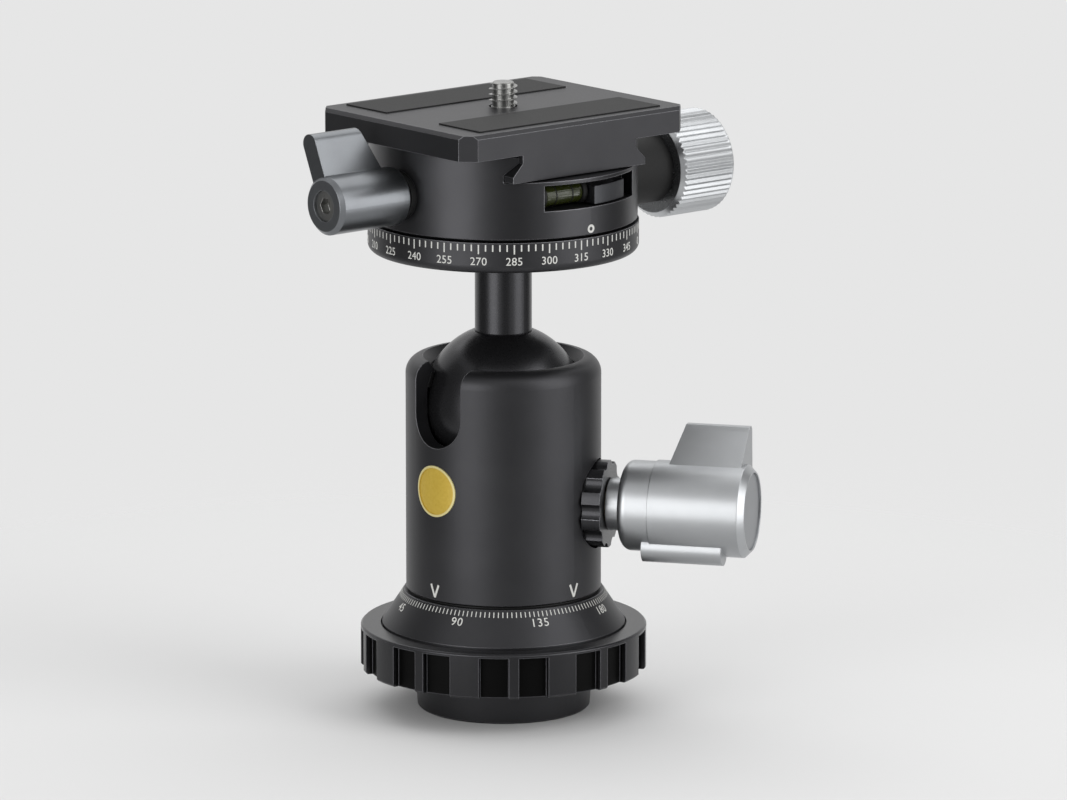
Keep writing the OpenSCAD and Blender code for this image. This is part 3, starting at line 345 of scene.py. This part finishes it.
def levelAir(finish):
    # Bubble of air under the tube: painted light, pale on its upper side, with a painted dark rim as the shading
    # of a lens
    wet = {"IOR": 1.33, "Roughness": 0.05, "Coat Weight": 1.0}
    material, tree, shader = startMaterial("levelBubble", wet)
    facing = addNode(tree, "ShaderNodeTexCoord").outputs["Normal"]
    up = addNode(tree, "ShaderNodeSeparateXYZ", links={0: facing})
    tone = addNode(tree, "ShaderNodeMix", {"data_type": "RGBA"},
                   {"A": linearFromHex(finish["rim"]), "B": linearFromHex(finish["litTop"])},
                   {"Factor": up.outputs["Z"]})
    wireShader(tree, shader, {"Base Color": tone.outputs["Result"]})
    return material


black = blackAnodised("blackAnodisedBlasted", blastFinish, 0.42)
blackBall = blackAnodised("blackAnodisedPolished", blastFinish, 0.28)
blackClamp = blackAnodised("blackAnodisedSatin", blastFinish, 0.34)
# painted light: the lock knob's silver is a copy of the satin silver with its own brightness, set for how this
# knob is lit
silverLock = turnedMetal("satinAnodisedTurned.lock", "#a8aaac", "#b4b6b8", 0.37, lockTurn, turnFinish)
silverClamp = turnedMetal("satinAnodisedTurned.clamp", "#b4b6b8", "#c0c2c4", 0.26, knobTurn, turnFinish)
# painted shade: the lever's silver is a darker copy of the satin silver, dimmed for the strong light it catches
shadedSilverLever = turnedMetal("satinAnodisedTurned.leverShaded", "#6e7073", "#7a7d80", 0.32, knobTurn, turnFinish)
greyLock = turnedMetal("greyAnodisedTurned.lock", "#929497", "#9ea0a3", 0.34, lockTurn, turnFinish)
greyClamp = turnedMetal("greyAnodisedTurned.clamp", "#4b4c4f", "#58595c", 0.4, clampTurn, turnFinish)
steel = turnedMetal("turnedSteel", "#8f8f8d", "#9c9c9a", 0.3, 0, turnFinish)
blackSteel = turnedMetal("blackOxideSteel", "#4a4a4b", "#58585a", 0.3, clampTurn, turnFinish)
brass = turnedMetal("turnedBrass", "#b8954a", "#c9a860", 0.3, lockTurn, turnFinish)
gripBlack = mouldedGrain("mouldedBlackGrip", "#101011", "#18181a", 0.42, 0.2, grainFinish)
rubber = mouldedGrain("mouldedRubber", "#111111", "#1a1a1a", 0.6, 0.35, grainFinish)
nylon = mouldedGrain("mouldedAcetal", "#d6d3c8", "#e2dfd5", 0.45, 0.1, grainFinish)
# painted shade: acetal painted near-black for the race and washer, which sit in shaded gaps between parts
shadedNylon = mouldedGrain("mouldedAcetalPaintedShade", "#0c0c0c", "#131313", 0.5, 0.1, grainFinish)
lockRing = lockRingGrip(gripFinish)
enamel = badgeEnamel(enamelFinish)
paint = scalePaint(paintFinish)
shadedLiquid = levelLiquid(shadedLevelFinish)
paintedBubble = levelAir(bubblePaintedLight)
print("materials ready")

# Finish of the CAD nodes

slotFinish = {
    "black_anodised": black, "ring_black": gripBlack, "silver_satin": silverClamp,
    "grey_anodised": greyClamp, "steel": steel, "black_screw": blackSteel, "brass": brass,
    "slide_plastic": nylon, "rubber": rubber, "yellow_enamel": enamel, "level_glass": shadedLiquid,
}
ownFinish = {  # nodes that look different from others of their slot
    "lock_knob": silverLock, "knob_cap": greyLock, "pan_lever": shadedSilverLever, "pan_lever_screw": steel,
    "ball": blackBall, "stem": blackBall, "friction_ring": blackBall, "clamp_body": blackClamp,
    "pan_lock_ring": lockRing, "upper_race": shadedNylon, "pan_washer": shadedNylon, "level_caps": rubber,
}
for part in frame["record"]["subparts"]:
    piece = nodes[part["node"]]
    piece.data.materials.clear()
    piece.data.materials.append(ownFinish.get(part["node"], slotFinish[part["material_slot"]]))
print("nodes dressed")

# Graduations

markSize = {"proud": 0.03 * mm, "sunk": 0.05 * mm, "soften": 0.06 * mm}
markThick = markSize["proud"] + markSize["sunk"]
markMiddle = (markSize["proud"] - markSize["sunk"]) / 2  # half way through a mark, from the wall outwards
digitShape = {"share": 0.7, "curve": 3, "weld": 0.001 * mm}  # share: how high a digit is, of its size


def markBar(width, height):  # one painted stroke, its corners rounded
    bpy.ops.object.select_all(action="DESELECT")
    bpy.ops.mesh.primitive_cube_add(size=1)
    bar = bpy.context.active_object
    bpy.ops.object.mode_set(mode="EDIT")
    bpy.ops.mesh.select_all(action="SELECT")
    bpy.ops.transform.resize(value=(width, height, markThick))
    bpy.ops.transform.translate(value=(0, 0, markMiddle))
    bpy.ops.mesh.select_all(action="DESELECT")
    bpy.ops.object.mode_set(mode="OBJECT")
    for edge in bar.data.edges:  # the upright corner edges
        ends = [bar.data.vertices[i].co.z for i in edge.vertices]
        edge.select = abs(ends[0] - ends[1]) > markThick / 2
    bpy.ops.object.mode_set(mode="EDIT")
    bpy.ops.mesh.bevel(offset=markSize["soften"], segments=2)
    bpy.ops.object.mode_set(mode="OBJECT")
    return bar


def digitModels(height):  # the ten digits as shallow solids, centred
    models = {}
    for digit in "0123456789":
        bpy.ops.object.select_all(action="DESELECT")
        bpy.ops.object.text_add()
        text = bpy.context.active_object
        text.data.body = digit
        text.data.size = height / digitShape["share"]
        text.data.align_x = "CENTER"
        text.data.align_y = "CENTER"
        text.data.extrude = markThick / 2
        text.data.resolution_u = digitShape["curve"]
        bpy.ops.object.convert(target="MESH")
        solid = bpy.context.active_object
        bpy.ops.object.mode_set(mode="EDIT")
        bpy.ops.mesh.select_all(action="SELECT")
        bpy.ops.mesh.remove_doubles(threshold=digitShape["weld"])
        bpy.ops.mesh.normals_make_consistent(inside=False)
        bpy.ops.object.mode_set(mode="OBJECT")
        solid.data.transform(Matrix.Translation((0, 0, markMiddle)))
        models[digit] = solid
    return models


def numberOnWall(number, digits, pitch, radius, angle, height, lean=0):  # digits side by side round a wall
    figures = str(number)
    copies = []
    for i, figure in enumerate(figures):
        shift = (i - (len(figures) - 1) / 2) * pitch / radius
        copies.append(copyTo(digits[figure], onWall(radius, angle + shift, height, lean)))
    return copies


def removeModels(models):
    for model in models:
        bpy.data.objects.remove(model)


dialLow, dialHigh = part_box("dial")
dialScale = {"step": 3, "longStep": 15, "zeroAt": 34, "tick": 1.5 * mm, "longTick": 2.1 * mm,
             "width": 0.32 * mm, "fromTop": 0.35 * mm, "figure": 1.75 * mm, "pitch": 1.28 * mm,
             "figureRise": 2.75 * mm}


def makeDialScale(size):  # a tick every 3 degrees, a longer one with its number every 15
    radius = dialHigh.x
    top = dialHigh.z - size["fromTop"]
    figureHeight = dialLow.z + size["figureRise"]
    shortBar = markBar(size["width"], size["tick"])
    longBar = markBar(size["width"], size["longTick"])
    digits = digitModels(size["figure"])
    marks, figures = [], []
    for degree in range(0, 360, size["step"]):
        angle = math.radians(degree + size["zeroAt"])
        if degree % size["longStep"] == 0:
            marks.append(copyTo(longBar, onWall(radius, angle, top - size["longTick"] / 2)))
            figures += numberOnWall(degree, digits, size["pitch"], radius, angle, figureHeight)
        else:
            marks.append(copyTo(shortBar, onWall(radius, angle, top - size["tick"] / 2)))
    settle(joinAs("dialTicks", marks), "stem", paint)
    settle(joinAs("dialFigures", figures), "stem", paint)
    removeModels([shortBar, longBar, *digits.values()])


makeDialScale(dialScale)

coneLow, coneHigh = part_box("scale_cone")
coneScale = {"steps": 144, "figureSteps": 18, "tick": 1.3 * mm, "width": 0.22 * mm, "fromTop": 0.5 * mm,
             "figure": 1.9 * mm, "pitch": 1.5 * mm, "figureDrop": 3.3 * mm, "zeroAt": -161,
             "nearTop": 0.02 * mm, "nearRim": 0.1 * mm}


def makeConeScale(size):  # fine ticks round the top of the cone, a number below them every 45 degrees
    points = [v.co for v in nodes["scale_cone"].data.vertices]
    topRadius = max(math.hypot(p.x, p.y) for p in points if p.z > coneHigh.z - size["nearTop"])
    rim = [p for p in points if math.hypot(p.x, p.y) > coneHigh.x - size["nearRim"]]
    lipHeight = min(p.z for p in rim if p.z > coneLow.z + size["nearRim"])
    run, rise = coneHigh.x - topRadius, coneHigh.z - lipHeight
    lean = math.atan2(run, rise)  # the cone leans in, so its face looks up by this much
    slope = math.hypot(run, rise)
    tickDown = (size["fromTop"] + size["tick"] / 2) / slope
    tickRadius, tickHeight = topRadius + run * tickDown, coneHigh.z - rise * tickDown
    figureDown = size["figureDrop"] / slope
    figureRadius, figureHeight = topRadius + run * figureDown, coneHigh.z - rise * figureDown
    bar = markBar(size["width"], size["tick"])
    digits = digitModels(size["figure"])
    marks, figures = [], []
    for step in range(size["steps"]):
        degree = 360 * step / size["steps"]
        angle = math.radians(degree + size["zeroAt"])
        marks.append(copyTo(bar, onWall(tickRadius, angle, tickHeight, lean)))
        if step % size["figureSteps"] == 0:
            figures += numberOnWall(int(degree), digits, size["pitch"], figureRadius, angle, figureHeight,
                                    lean)
    settle(joinAs("coneTicks", marks), "base", paint)
    settle(joinAs("coneFigures", figures), "base", paint)
    removeModels([bar, *digits.values()])


makeConeScale(coneScale)

barrelLow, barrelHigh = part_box("housing_barrel")
pointerSize = {"width": 2.3 * mm, "height": 2.9 * mm, "stroke": 0.55 * mm, "rise": 1.0 * mm,
               "places": (-90, 0, 90, 180)}


def makePointers(size):  # two strokes that meet in a point, over the cone's scale
    radius = barrelHigh.x
    middle = barrelLow.z + size["rise"] + size["height"] / 2
    lean = math.atan2(size["width"] / 2, size["height"])
    stroke = markBar(size["stroke"], math.hypot(size["width"] / 2, size["height"]))
    marks = []
    for degree in size["places"]:
        for side in (-1, 1):
            turn = side * size["width"] / 4 / radius
            place = onWall(radius, math.radians(degree) + turn, middle)
            marks.append(copyTo(stroke, place @ Matrix.Rotation(-side * lean, 4, "Z")))
    settle(joinAs("panPointers", marks), "housing", paint)
    removeModels([stroke])


makePointers(pointerSize)

dotSize = {"radius": 0.95 * mm, "hole": 0.45 * mm, "rise": 1.9 * mm, "sides": 32}


def makeIndexDot(size):  # small painted ring on the clamp over the dial's scale
    bpy.ops.object.select_all(action="DESELECT")
    bpy.ops.mesh.primitive_circle_add(vertices=size["sides"], radius=size["radius"], fill_type="NGON")
    dot = bpy.context.active_object
    bpy.ops.object.mode_set(mode="EDIT")
    bpy.ops.mesh.select_all(action="SELECT")
    bpy.ops.mesh.inset(thickness=size["radius"] - size["hole"])
    bpy.ops.mesh.delete(type="FACE")
    bpy.ops.mesh.select_all(action="SELECT")
    bpy.ops.transform.translate(value=(0, 0, -markSize["sunk"]))
    bpy.ops.mesh.extrude_region_move(TRANSFORM_OT_translate={"value": (0, 0, markThick)})
    bpy.ops.mesh.select_all(action="SELECT")
    bpy.ops.mesh.normals_make_consistent(inside=False)
    bpy.ops.object.mode_set(mode="OBJECT")
    wall = -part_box("clamp_body")[0].x
    dot.data.transform(onWall(wall, clampTurn, dialHigh.z + size["rise"]))
    dot.name = "panIndexDot"
    settle(dot, "clamp", paint)


makeIndexDot(dotSize)

# Level

levelSize = {"round": 0.5 * mm, "lineAt": 2.3 * mm, "line": 0.3 * mm, "lineDepth": 0.18 * mm,
             "proud": 0.06 * mm, "bubble": 3.0 * mm, "bubbleRadius": 1.25 * mm, "sides": 48,
             "bubbleSides": 32}


def makeLevel(size):  # modelled along z with its top towards x, then laid along the window
    points = [v.co for v in nodes["level_vial"].data.vertices]
    low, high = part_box("level_vial")
    reach = [point.dot(knobAxis) for point in points]
    radius, long = (high.z - low.z) / 2, max(reach) - min(reach)
    lineRadius = radius + size["proud"]
    up = Vector((0, 0, 1))
    place = Matrix((up, knobAxis.cross(up), knobAxis)).transposed().to_4x4()
    place.translation = (low + high) / 2
    bpy.ops.object.select_all(action="DESELECT")
    bpy.ops.mesh.primitive_cylinder_add(vertices=size["sides"], radius=radius, depth=long)
    tube = bpy.context.active_object
    for edge in tube.data.edges:  # the two end rims
        ends = [tube.data.vertices[i].co.z for i in edge.vertices]
        edge.select = abs(ends[0] - ends[1]) < long / 2
    bpy.ops.object.mode_set(mode="EDIT")
    bpy.ops.mesh.bevel(offset=size["round"], segments=4)
    bpy.ops.object.mode_set(mode="OBJECT")
    bpy.ops.object.shade_smooth_by_angle(angle=math.radians(40))
    tube.name = "levelTube"
    lines = []
    for side in (-1, 1):
        bpy.ops.object.select_all(action="DESELECT")
        bpy.ops.mesh.primitive_cylinder_add(vertices=size["sides"], radius=lineRadius, depth=size["line"],
                                            end_fill_type="NOTHING")
        line = bpy.context.active_object
        bpy.ops.object.mode_set(mode="EDIT")
        bpy.ops.mesh.select_all(action="SELECT")
        bpy.ops.mesh.solidify(thickness=size["lineDepth"])
        bpy.ops.mesh.select_all(action="SELECT")  # solidify leaves one of the two shells selected
        bpy.ops.mesh.normals_make_consistent(inside=False)
        bpy.ops.transform.translate(value=(0, 0, side * size["lineAt"]))
        bpy.ops.object.mode_set(mode="OBJECT")
        lines.append(line)
    rings = joinAs("levelLines", lines)
    bpy.ops.object.select_all(action="DESELECT")
    bpy.ops.mesh.primitive_uv_sphere_add(segments=size["bubbleSides"], ring_count=size["bubbleSides"] // 2,
                                         radius=size["bubbleRadius"])
    bubble = bpy.context.active_object
    bpy.ops.object.mode_set(mode="EDIT")
    bpy.ops.mesh.select_all(action="SELECT")
    bpy.ops.transform.resize(value=(1, 1, size["bubble"] / 2 / size["bubbleRadius"]))
    bpy.ops.transform.translate(value=(lineRadius - size["bubbleRadius"], 0, 0))
    bpy.ops.mesh.faces_shade_smooth()
    bpy.ops.object.mode_set(mode="OBJECT")
    bubble.name = "levelBubble"
    for piece in (tube, rings, bubble):
        piece.data.transform(place)
    settle(tube, "clamp", shadedLiquid, ["level_vial"])
    settle(rings, "clamp", rubber)
    settle(bubble, "clamp", paintedBubble)


makeLevel(levelSize)

# Threads

threadForm = {"crest": 0.125, "foot": 0.75, "start": 0.4, "steps": 40}  # in pitches, apart from the steps


def makeThread(name, root, crest, pitch, bottom, turns):  # a 60 degree ridge wound round the z axis
    bpy.ops.object.select_all(action="DESELECT")
    bpy.ops.mesh.primitive_plane_add(size=1, rotation=(math.pi / 2, 0, 0))
    ridge = bpy.context.active_object
    bpy.ops.object.transform_apply(rotation=True)
    for vertex in ridge.data.vertices:  # the crest's two corners
        vertex.select = vertex.co.x > 0
    bpy.ops.object.mode_set(mode="EDIT")
    bpy.ops.transform.resize(value=(1, 1, threadForm["crest"] / threadForm["foot"]))
    bpy.ops.mesh.select_all(action="SELECT")
    bpy.ops.transform.resize(value=(crest - root, 1, threadForm["foot"] * pitch), center_override=(0, 0, 0))
    bpy.ops.transform.translate(value=((crest + root) / 2, 0, bottom + threadForm["start"] * pitch))
    bpy.ops.mesh.delete(type="ONLY_FACE")
    bpy.ops.object.mode_set(mode="OBJECT")
    wind = ridge.modifiers.new("wind", "SCREW")
    wind.screw_offset = pitch
    wind.iterations = turns
    wind.steps = threadForm["steps"]
    bpy.ops.object.modifier_apply(modifier="wind")
    bpy.ops.object.mode_set(mode="EDIT")
    bpy.ops.mesh.select_all(action="SELECT")
    bpy.ops.mesh.fill_holes(sides=4)
    bpy.ops.mesh.normals_make_consistent(inside=False)
    bpy.ops.object.mode_set(mode="OBJECT")
    bpy.ops.object.shade_smooth_by_angle(angle=math.radians(25))
    ridge.name = name
    return ridge


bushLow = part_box("thread_bush")[0]
supportThread = {"pitch": inch / 16, "major": 4.76 * mm, "minor": 3.96 * mm, "turns": 7, "seat": 0.05 * mm}


def makeSupportThread(size):  # the ridges inside the steel bush of the base
    thread = makeThread("supportThread", size["major"] + size["seat"], size["minor"], size["pitch"],
                        bushLow.z, size["turns"])
    settle(thread, "base", steel)


makeSupportThread(supportThread)

screwLow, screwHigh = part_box("camera_screw")
cameraScrew = {"pitch": inch / 20, "major": 3.175 * mm, "minor": 2.42 * mm, "turns": 4, "seat": 0.05 * mm,
               "neck": 2.67 * mm, "head": 7.2 * mm, "headHeight": 2.5 * mm, "round": 0.3 * mm,
               "chamfer": 0.7 * mm, "sink": 0.1 * mm, "slotWidth": 1.6 * mm, "slotDepth": 1.2 * mm,
               "sides": 64}


def makeCameraScrew(size):  # slotted head, plain neck through the plate, then the thread
    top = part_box("plate")[1].z  # the thread starts at the plate's face
    low, high = screwLow.z, screwLow.z + size["headHeight"]
    head, neck, minor, edge = size["head"], size["neck"], size["minor"], size["round"]
    rings = [(head - edge, low), (head, low + edge), (head, high - edge), (head - edge, high), (neck, high),
             (neck, top), (minor, top), (minor, screwHigh.z - edge), (minor - edge, screwHigh.z)]
    bpy.ops.object.select_all(action="DESELECT")
    bpy.ops.mesh.primitive_circle_add(vertices=size["sides"], radius=rings[0][0], fill_type="NGON")
    core = bpy.context.active_object
    bpy.ops.object.mode_set(mode="EDIT")
    bpy.ops.mesh.select_all(action="SELECT")
    bpy.ops.transform.translate(value=(0, 0, low))
    for before, after in zip(rings, rings[1:]):  # the disc is pushed up from ring to ring
        bpy.ops.mesh.extrude_region_move(TRANSFORM_OT_translate={"value": (0, 0, after[1] - before[1])})
        bpy.ops.transform.resize(value=(after[0] / before[0], after[0] / before[0], 1))
    bpy.ops.mesh.select_all(action="SELECT")
    bpy.ops.mesh.normals_make_consistent(inside=False)
    bpy.ops.object.mode_set(mode="OBJECT")
    bpy.ops.mesh.primitive_cube_add(size=1)
    cutter = bpy.context.active_object
    bpy.ops.object.mode_set(mode="EDIT")
    bpy.ops.transform.resize(value=(3 * head, size["slotWidth"], 2 * size["slotDepth"]))  # right across
    bpy.ops.transform.translate(value=(0, 0, low))
    bpy.ops.object.mode_set(mode="OBJECT")
    selectOnly(core)
    slot = core.modifiers.new("slot", "BOOLEAN")
    slot.operation = "DIFFERENCE"
    slot.object = cutter
    slot.solver = "EXACT"
    bpy.ops.object.modifier_apply(modifier="slot")
    bpy.data.objects.remove(cutter)
    bpy.ops.object.shade_smooth_by_angle(angle=math.radians(35))
    thread = makeThread("ridge", minor - size["seat"], size["major"], size["pitch"], top, size["turns"])
    for vertex in thread.data.vertices:  # the chamfer at the tip cuts the ridge
        reach = math.hypot(vertex.co.x, vertex.co.y)
        limit = max(size["major"] - size["chamfer"] + screwHigh.z - vertex.co.z, minor - size["sink"])
        if reach > limit:
            vertex.co.x *= limit / reach
            vertex.co.y *= limit / reach
        vertex.co.z = min(vertex.co.z, screwHigh.z)
    screw = joinAs("cameraScrew", [core, thread])
    settle(screw, "camera_bolt", steel, ["camera_screw"])


makeCameraScrew(cameraScrew)

# Studio

floorLook = {"radius": 3.0, "sides": 96, "fadeFrom": 0.06, "fadeTo": 0.3, "colour": "#e6e6e6"}


def makeFloor(look):  # pale floor that fades into the backdrop and is clear from below
    bpy.ops.object.select_all(action="DESELECT")
    bpy.ops.mesh.primitive_circle_add(vertices=look["sides"], radius=look["radius"], fill_type="NGON")
    floor = bpy.context.active_object
    floor.name = "studioFloor"
    # Matt paper: pale and even, so that only the soft shadow shows
    matt = {"Base Color": linearFromHex(look["colour"]), "Roughness": 0.9, "Specular IOR Level": 0.1}
    material, tree, shader = startMaterial("studioPaper", matt)
    place = addNode(tree, "ShaderNodeTexCoord").outputs["Object"]
    reach = addNode(tree, "ShaderNodeVectorMath", {"operation": "LENGTH"}, links={0: place})
    fade = addNode(tree, "ShaderNodeMapRange", {"interpolation_type": "SMOOTHSTEP"},
                   {"From Min": look["fadeFrom"], "From Max": look["fadeTo"]},
                   {"Value": reach.outputs["Value"]})
    below = addNode(tree, "ShaderNodeNewGeometry").outputs["Backfacing"]
    gone = addNode(tree, "ShaderNodeMath", {"operation": "MAXIMUM"},
                   links={0: fade.outputs["Result"], 1: below})
    clear = addNode(tree, "ShaderNodeBsdfTransparent")
    blend = addNode(tree, "ShaderNodeMixShader",
                    links={0: gone.outputs[0], 1: shader.outputs["BSDF"], 2: clear.outputs["BSDF"]})
    tree.links.new(blend.outputs[0], tree.nodes["Material Output"].inputs["Surface"])
    floor.data.materials.append(material)


backdrop = {"colour": "#e6e6e6", "fill": "#ffffff", "fillStrength": 0.5}


def makeWorld(look):  # the camera, metal and glass see the backdrop, the rest gets soft fill light
    world = bpy.data.worlds.new("studioBackdrop")
    bpy.context.scene.world = world
    world.use_nodes = True
    tree = world.node_tree
    tree.nodes.clear()
    ray = addNode(tree, "ShaderNodeLightPath")
    shiny = addNode(tree, "ShaderNodeMath", {"operation": "MAXIMUM"},
                    links={0: ray.outputs["Is Glossy Ray"], 1: ray.outputs["Is Transmission Ray"]})
    seen = addNode(tree, "ShaderNodeMath", {"operation": "MAXIMUM"},
                   links={0: ray.outputs["Is Camera Ray"], 1: shiny.outputs[0]})
    fill = addNode(tree, "ShaderNodeBackground",
                   values={"Color": linearFromHex(look["fill"]), "Strength": look["fillStrength"]})
    paper = addNode(tree, "ShaderNodeBackground",
                    values={"Color": linearFromHex(look["colour"]), "Strength": 1})
    blend = addNode(tree, "ShaderNodeMixShader",
                    links={0: seen.outputs[0], 1: fill.outputs[0], 2: paper.outputs[0]})
    addNode(tree, "ShaderNodeOutputWorld", links={"Surface": blend.outputs[0]})


shot = {"azimuth": 44.4, "elevation": 12.06, "distance": 1.731, "level": 0.0706, "aim": 0.0696,
        "aside": 0.0067, "lens": 87.4, "closer": 3.0, "sensor": 36, "clip": (0.01, 20)}


def pointedFrom(azimuth, elevation):  # azimuth 0 looks along +Y
    a, e = math.radians(azimuth), math.radians(elevation)
    return Vector((math.sin(a) * math.cos(e), -math.cos(a) * math.cos(e), math.sin(e)))


def standRound(piece, place):  # puts a lamp or card round the part, as seen from the camera, facing it
    back = pointedFrom(shot["azimuth"] + place["from"][0], place["from"][1])
    piece.location = Vector((0, 0, shot["aim"])) + back * place["distance"]
    piece.rotation_euler = (-back).to_track_quat("-Z", "Y").to_euler()


lamps = {
    "leftBox": {"from": (-40, 8), "distance": 0.9, "size": (0.55, 0.75), "power": 3.8},
    "rightBox": {"from": (64, 18), "distance": 0.9, "size": (0.6, 1.1), "power": 5.2},
    "topBox": {"from": (180, 62), "distance": 1.1, "size": (1.6, 1.2), "power": 6.6},
}


def makeLamps():
    for name, lamp in lamps.items():
        data = bpy.data.lights.new(name, "AREA")
        data.shape = "RECTANGLE"
        data.size, data.size_y = lamp["size"]
        data.energy = lamp["power"]
        box = bpy.data.objects.new(name, data)
        bpy.context.scene.collection.objects.link(box)
        standRound(box, lamp)


cards = {
    "leftCard": {"from": (-92, 4), "distance": 0.8, "size": (0.75, 1.3), "tone": "#6c6c6c"},
    "rightCard": {"from": (112, 4), "distance": 0.8, "size": (0.5, 1.3), "tone": "#7c7c7c"},
    "frontCard": {"from": (9, 4), "distance": 1.1, "size": (0.62, 1.3), "tone": "#7c7c7c"},
}


def makeCards():  # grey cards between the lamps, which only reflections see, draw dark bands on the metal
    for name, card in cards.items():
        bpy.ops.object.select_all(action="DESELECT")
        bpy.ops.mesh.primitive_plane_add(size=1)
        sheet = bpy.context.active_object
        sheet.name = name
        bpy.ops.object.mode_set(mode="EDIT")
        bpy.ops.transform.resize(value=(*card["size"], 1))
        bpy.ops.object.mode_set(mode="OBJECT")
        standRound(sheet, card)
        sheet.visible_camera = False
        sheet.visible_diffuse = False
        sheet.visible_shadow = False
        even = {"Base Color": linearFromHex("#000000"), "Specular IOR Level": 0, "Emission Strength": 1,
                "Emission Color": linearFromHex(card["tone"])}  # one grey, whatever the light
        sheet.data.materials.append(startMaterial(name, even)[0])


def makeCamera():
    data = bpy.data.cameras.new("shot")
    camera = bpy.data.objects.new("shot", data)
    bpy.context.scene.collection.objects.link(camera)
    back = pointedFrom(shot["azimuth"], shot["elevation"])
    a = math.radians(shot["azimuth"])
    aim = Vector((shot["aside"] * math.cos(a), shot["aside"] * math.sin(a), shot["aim"]))
    camera.location = Vector((0, 0, shot["level"])) + back * shot["distance"]
    camera.rotation_euler = (aim - camera.location).to_track_quat("-Z", "Y").to_euler()
    data.sensor_width = shot["sensor"]
    data.lens = shot["lens"] * shot["closer"]
    data.clip_start, data.clip_end = shot["clip"]
    bpy.context.scene.camera = camera


makeFloor(floorLook)
makeWorld(backdrop)
makeLamps()
makeCards()
makeCamera()
bpy.context.scene.view_settings.view_transform = "Standard"
print("studio ready")
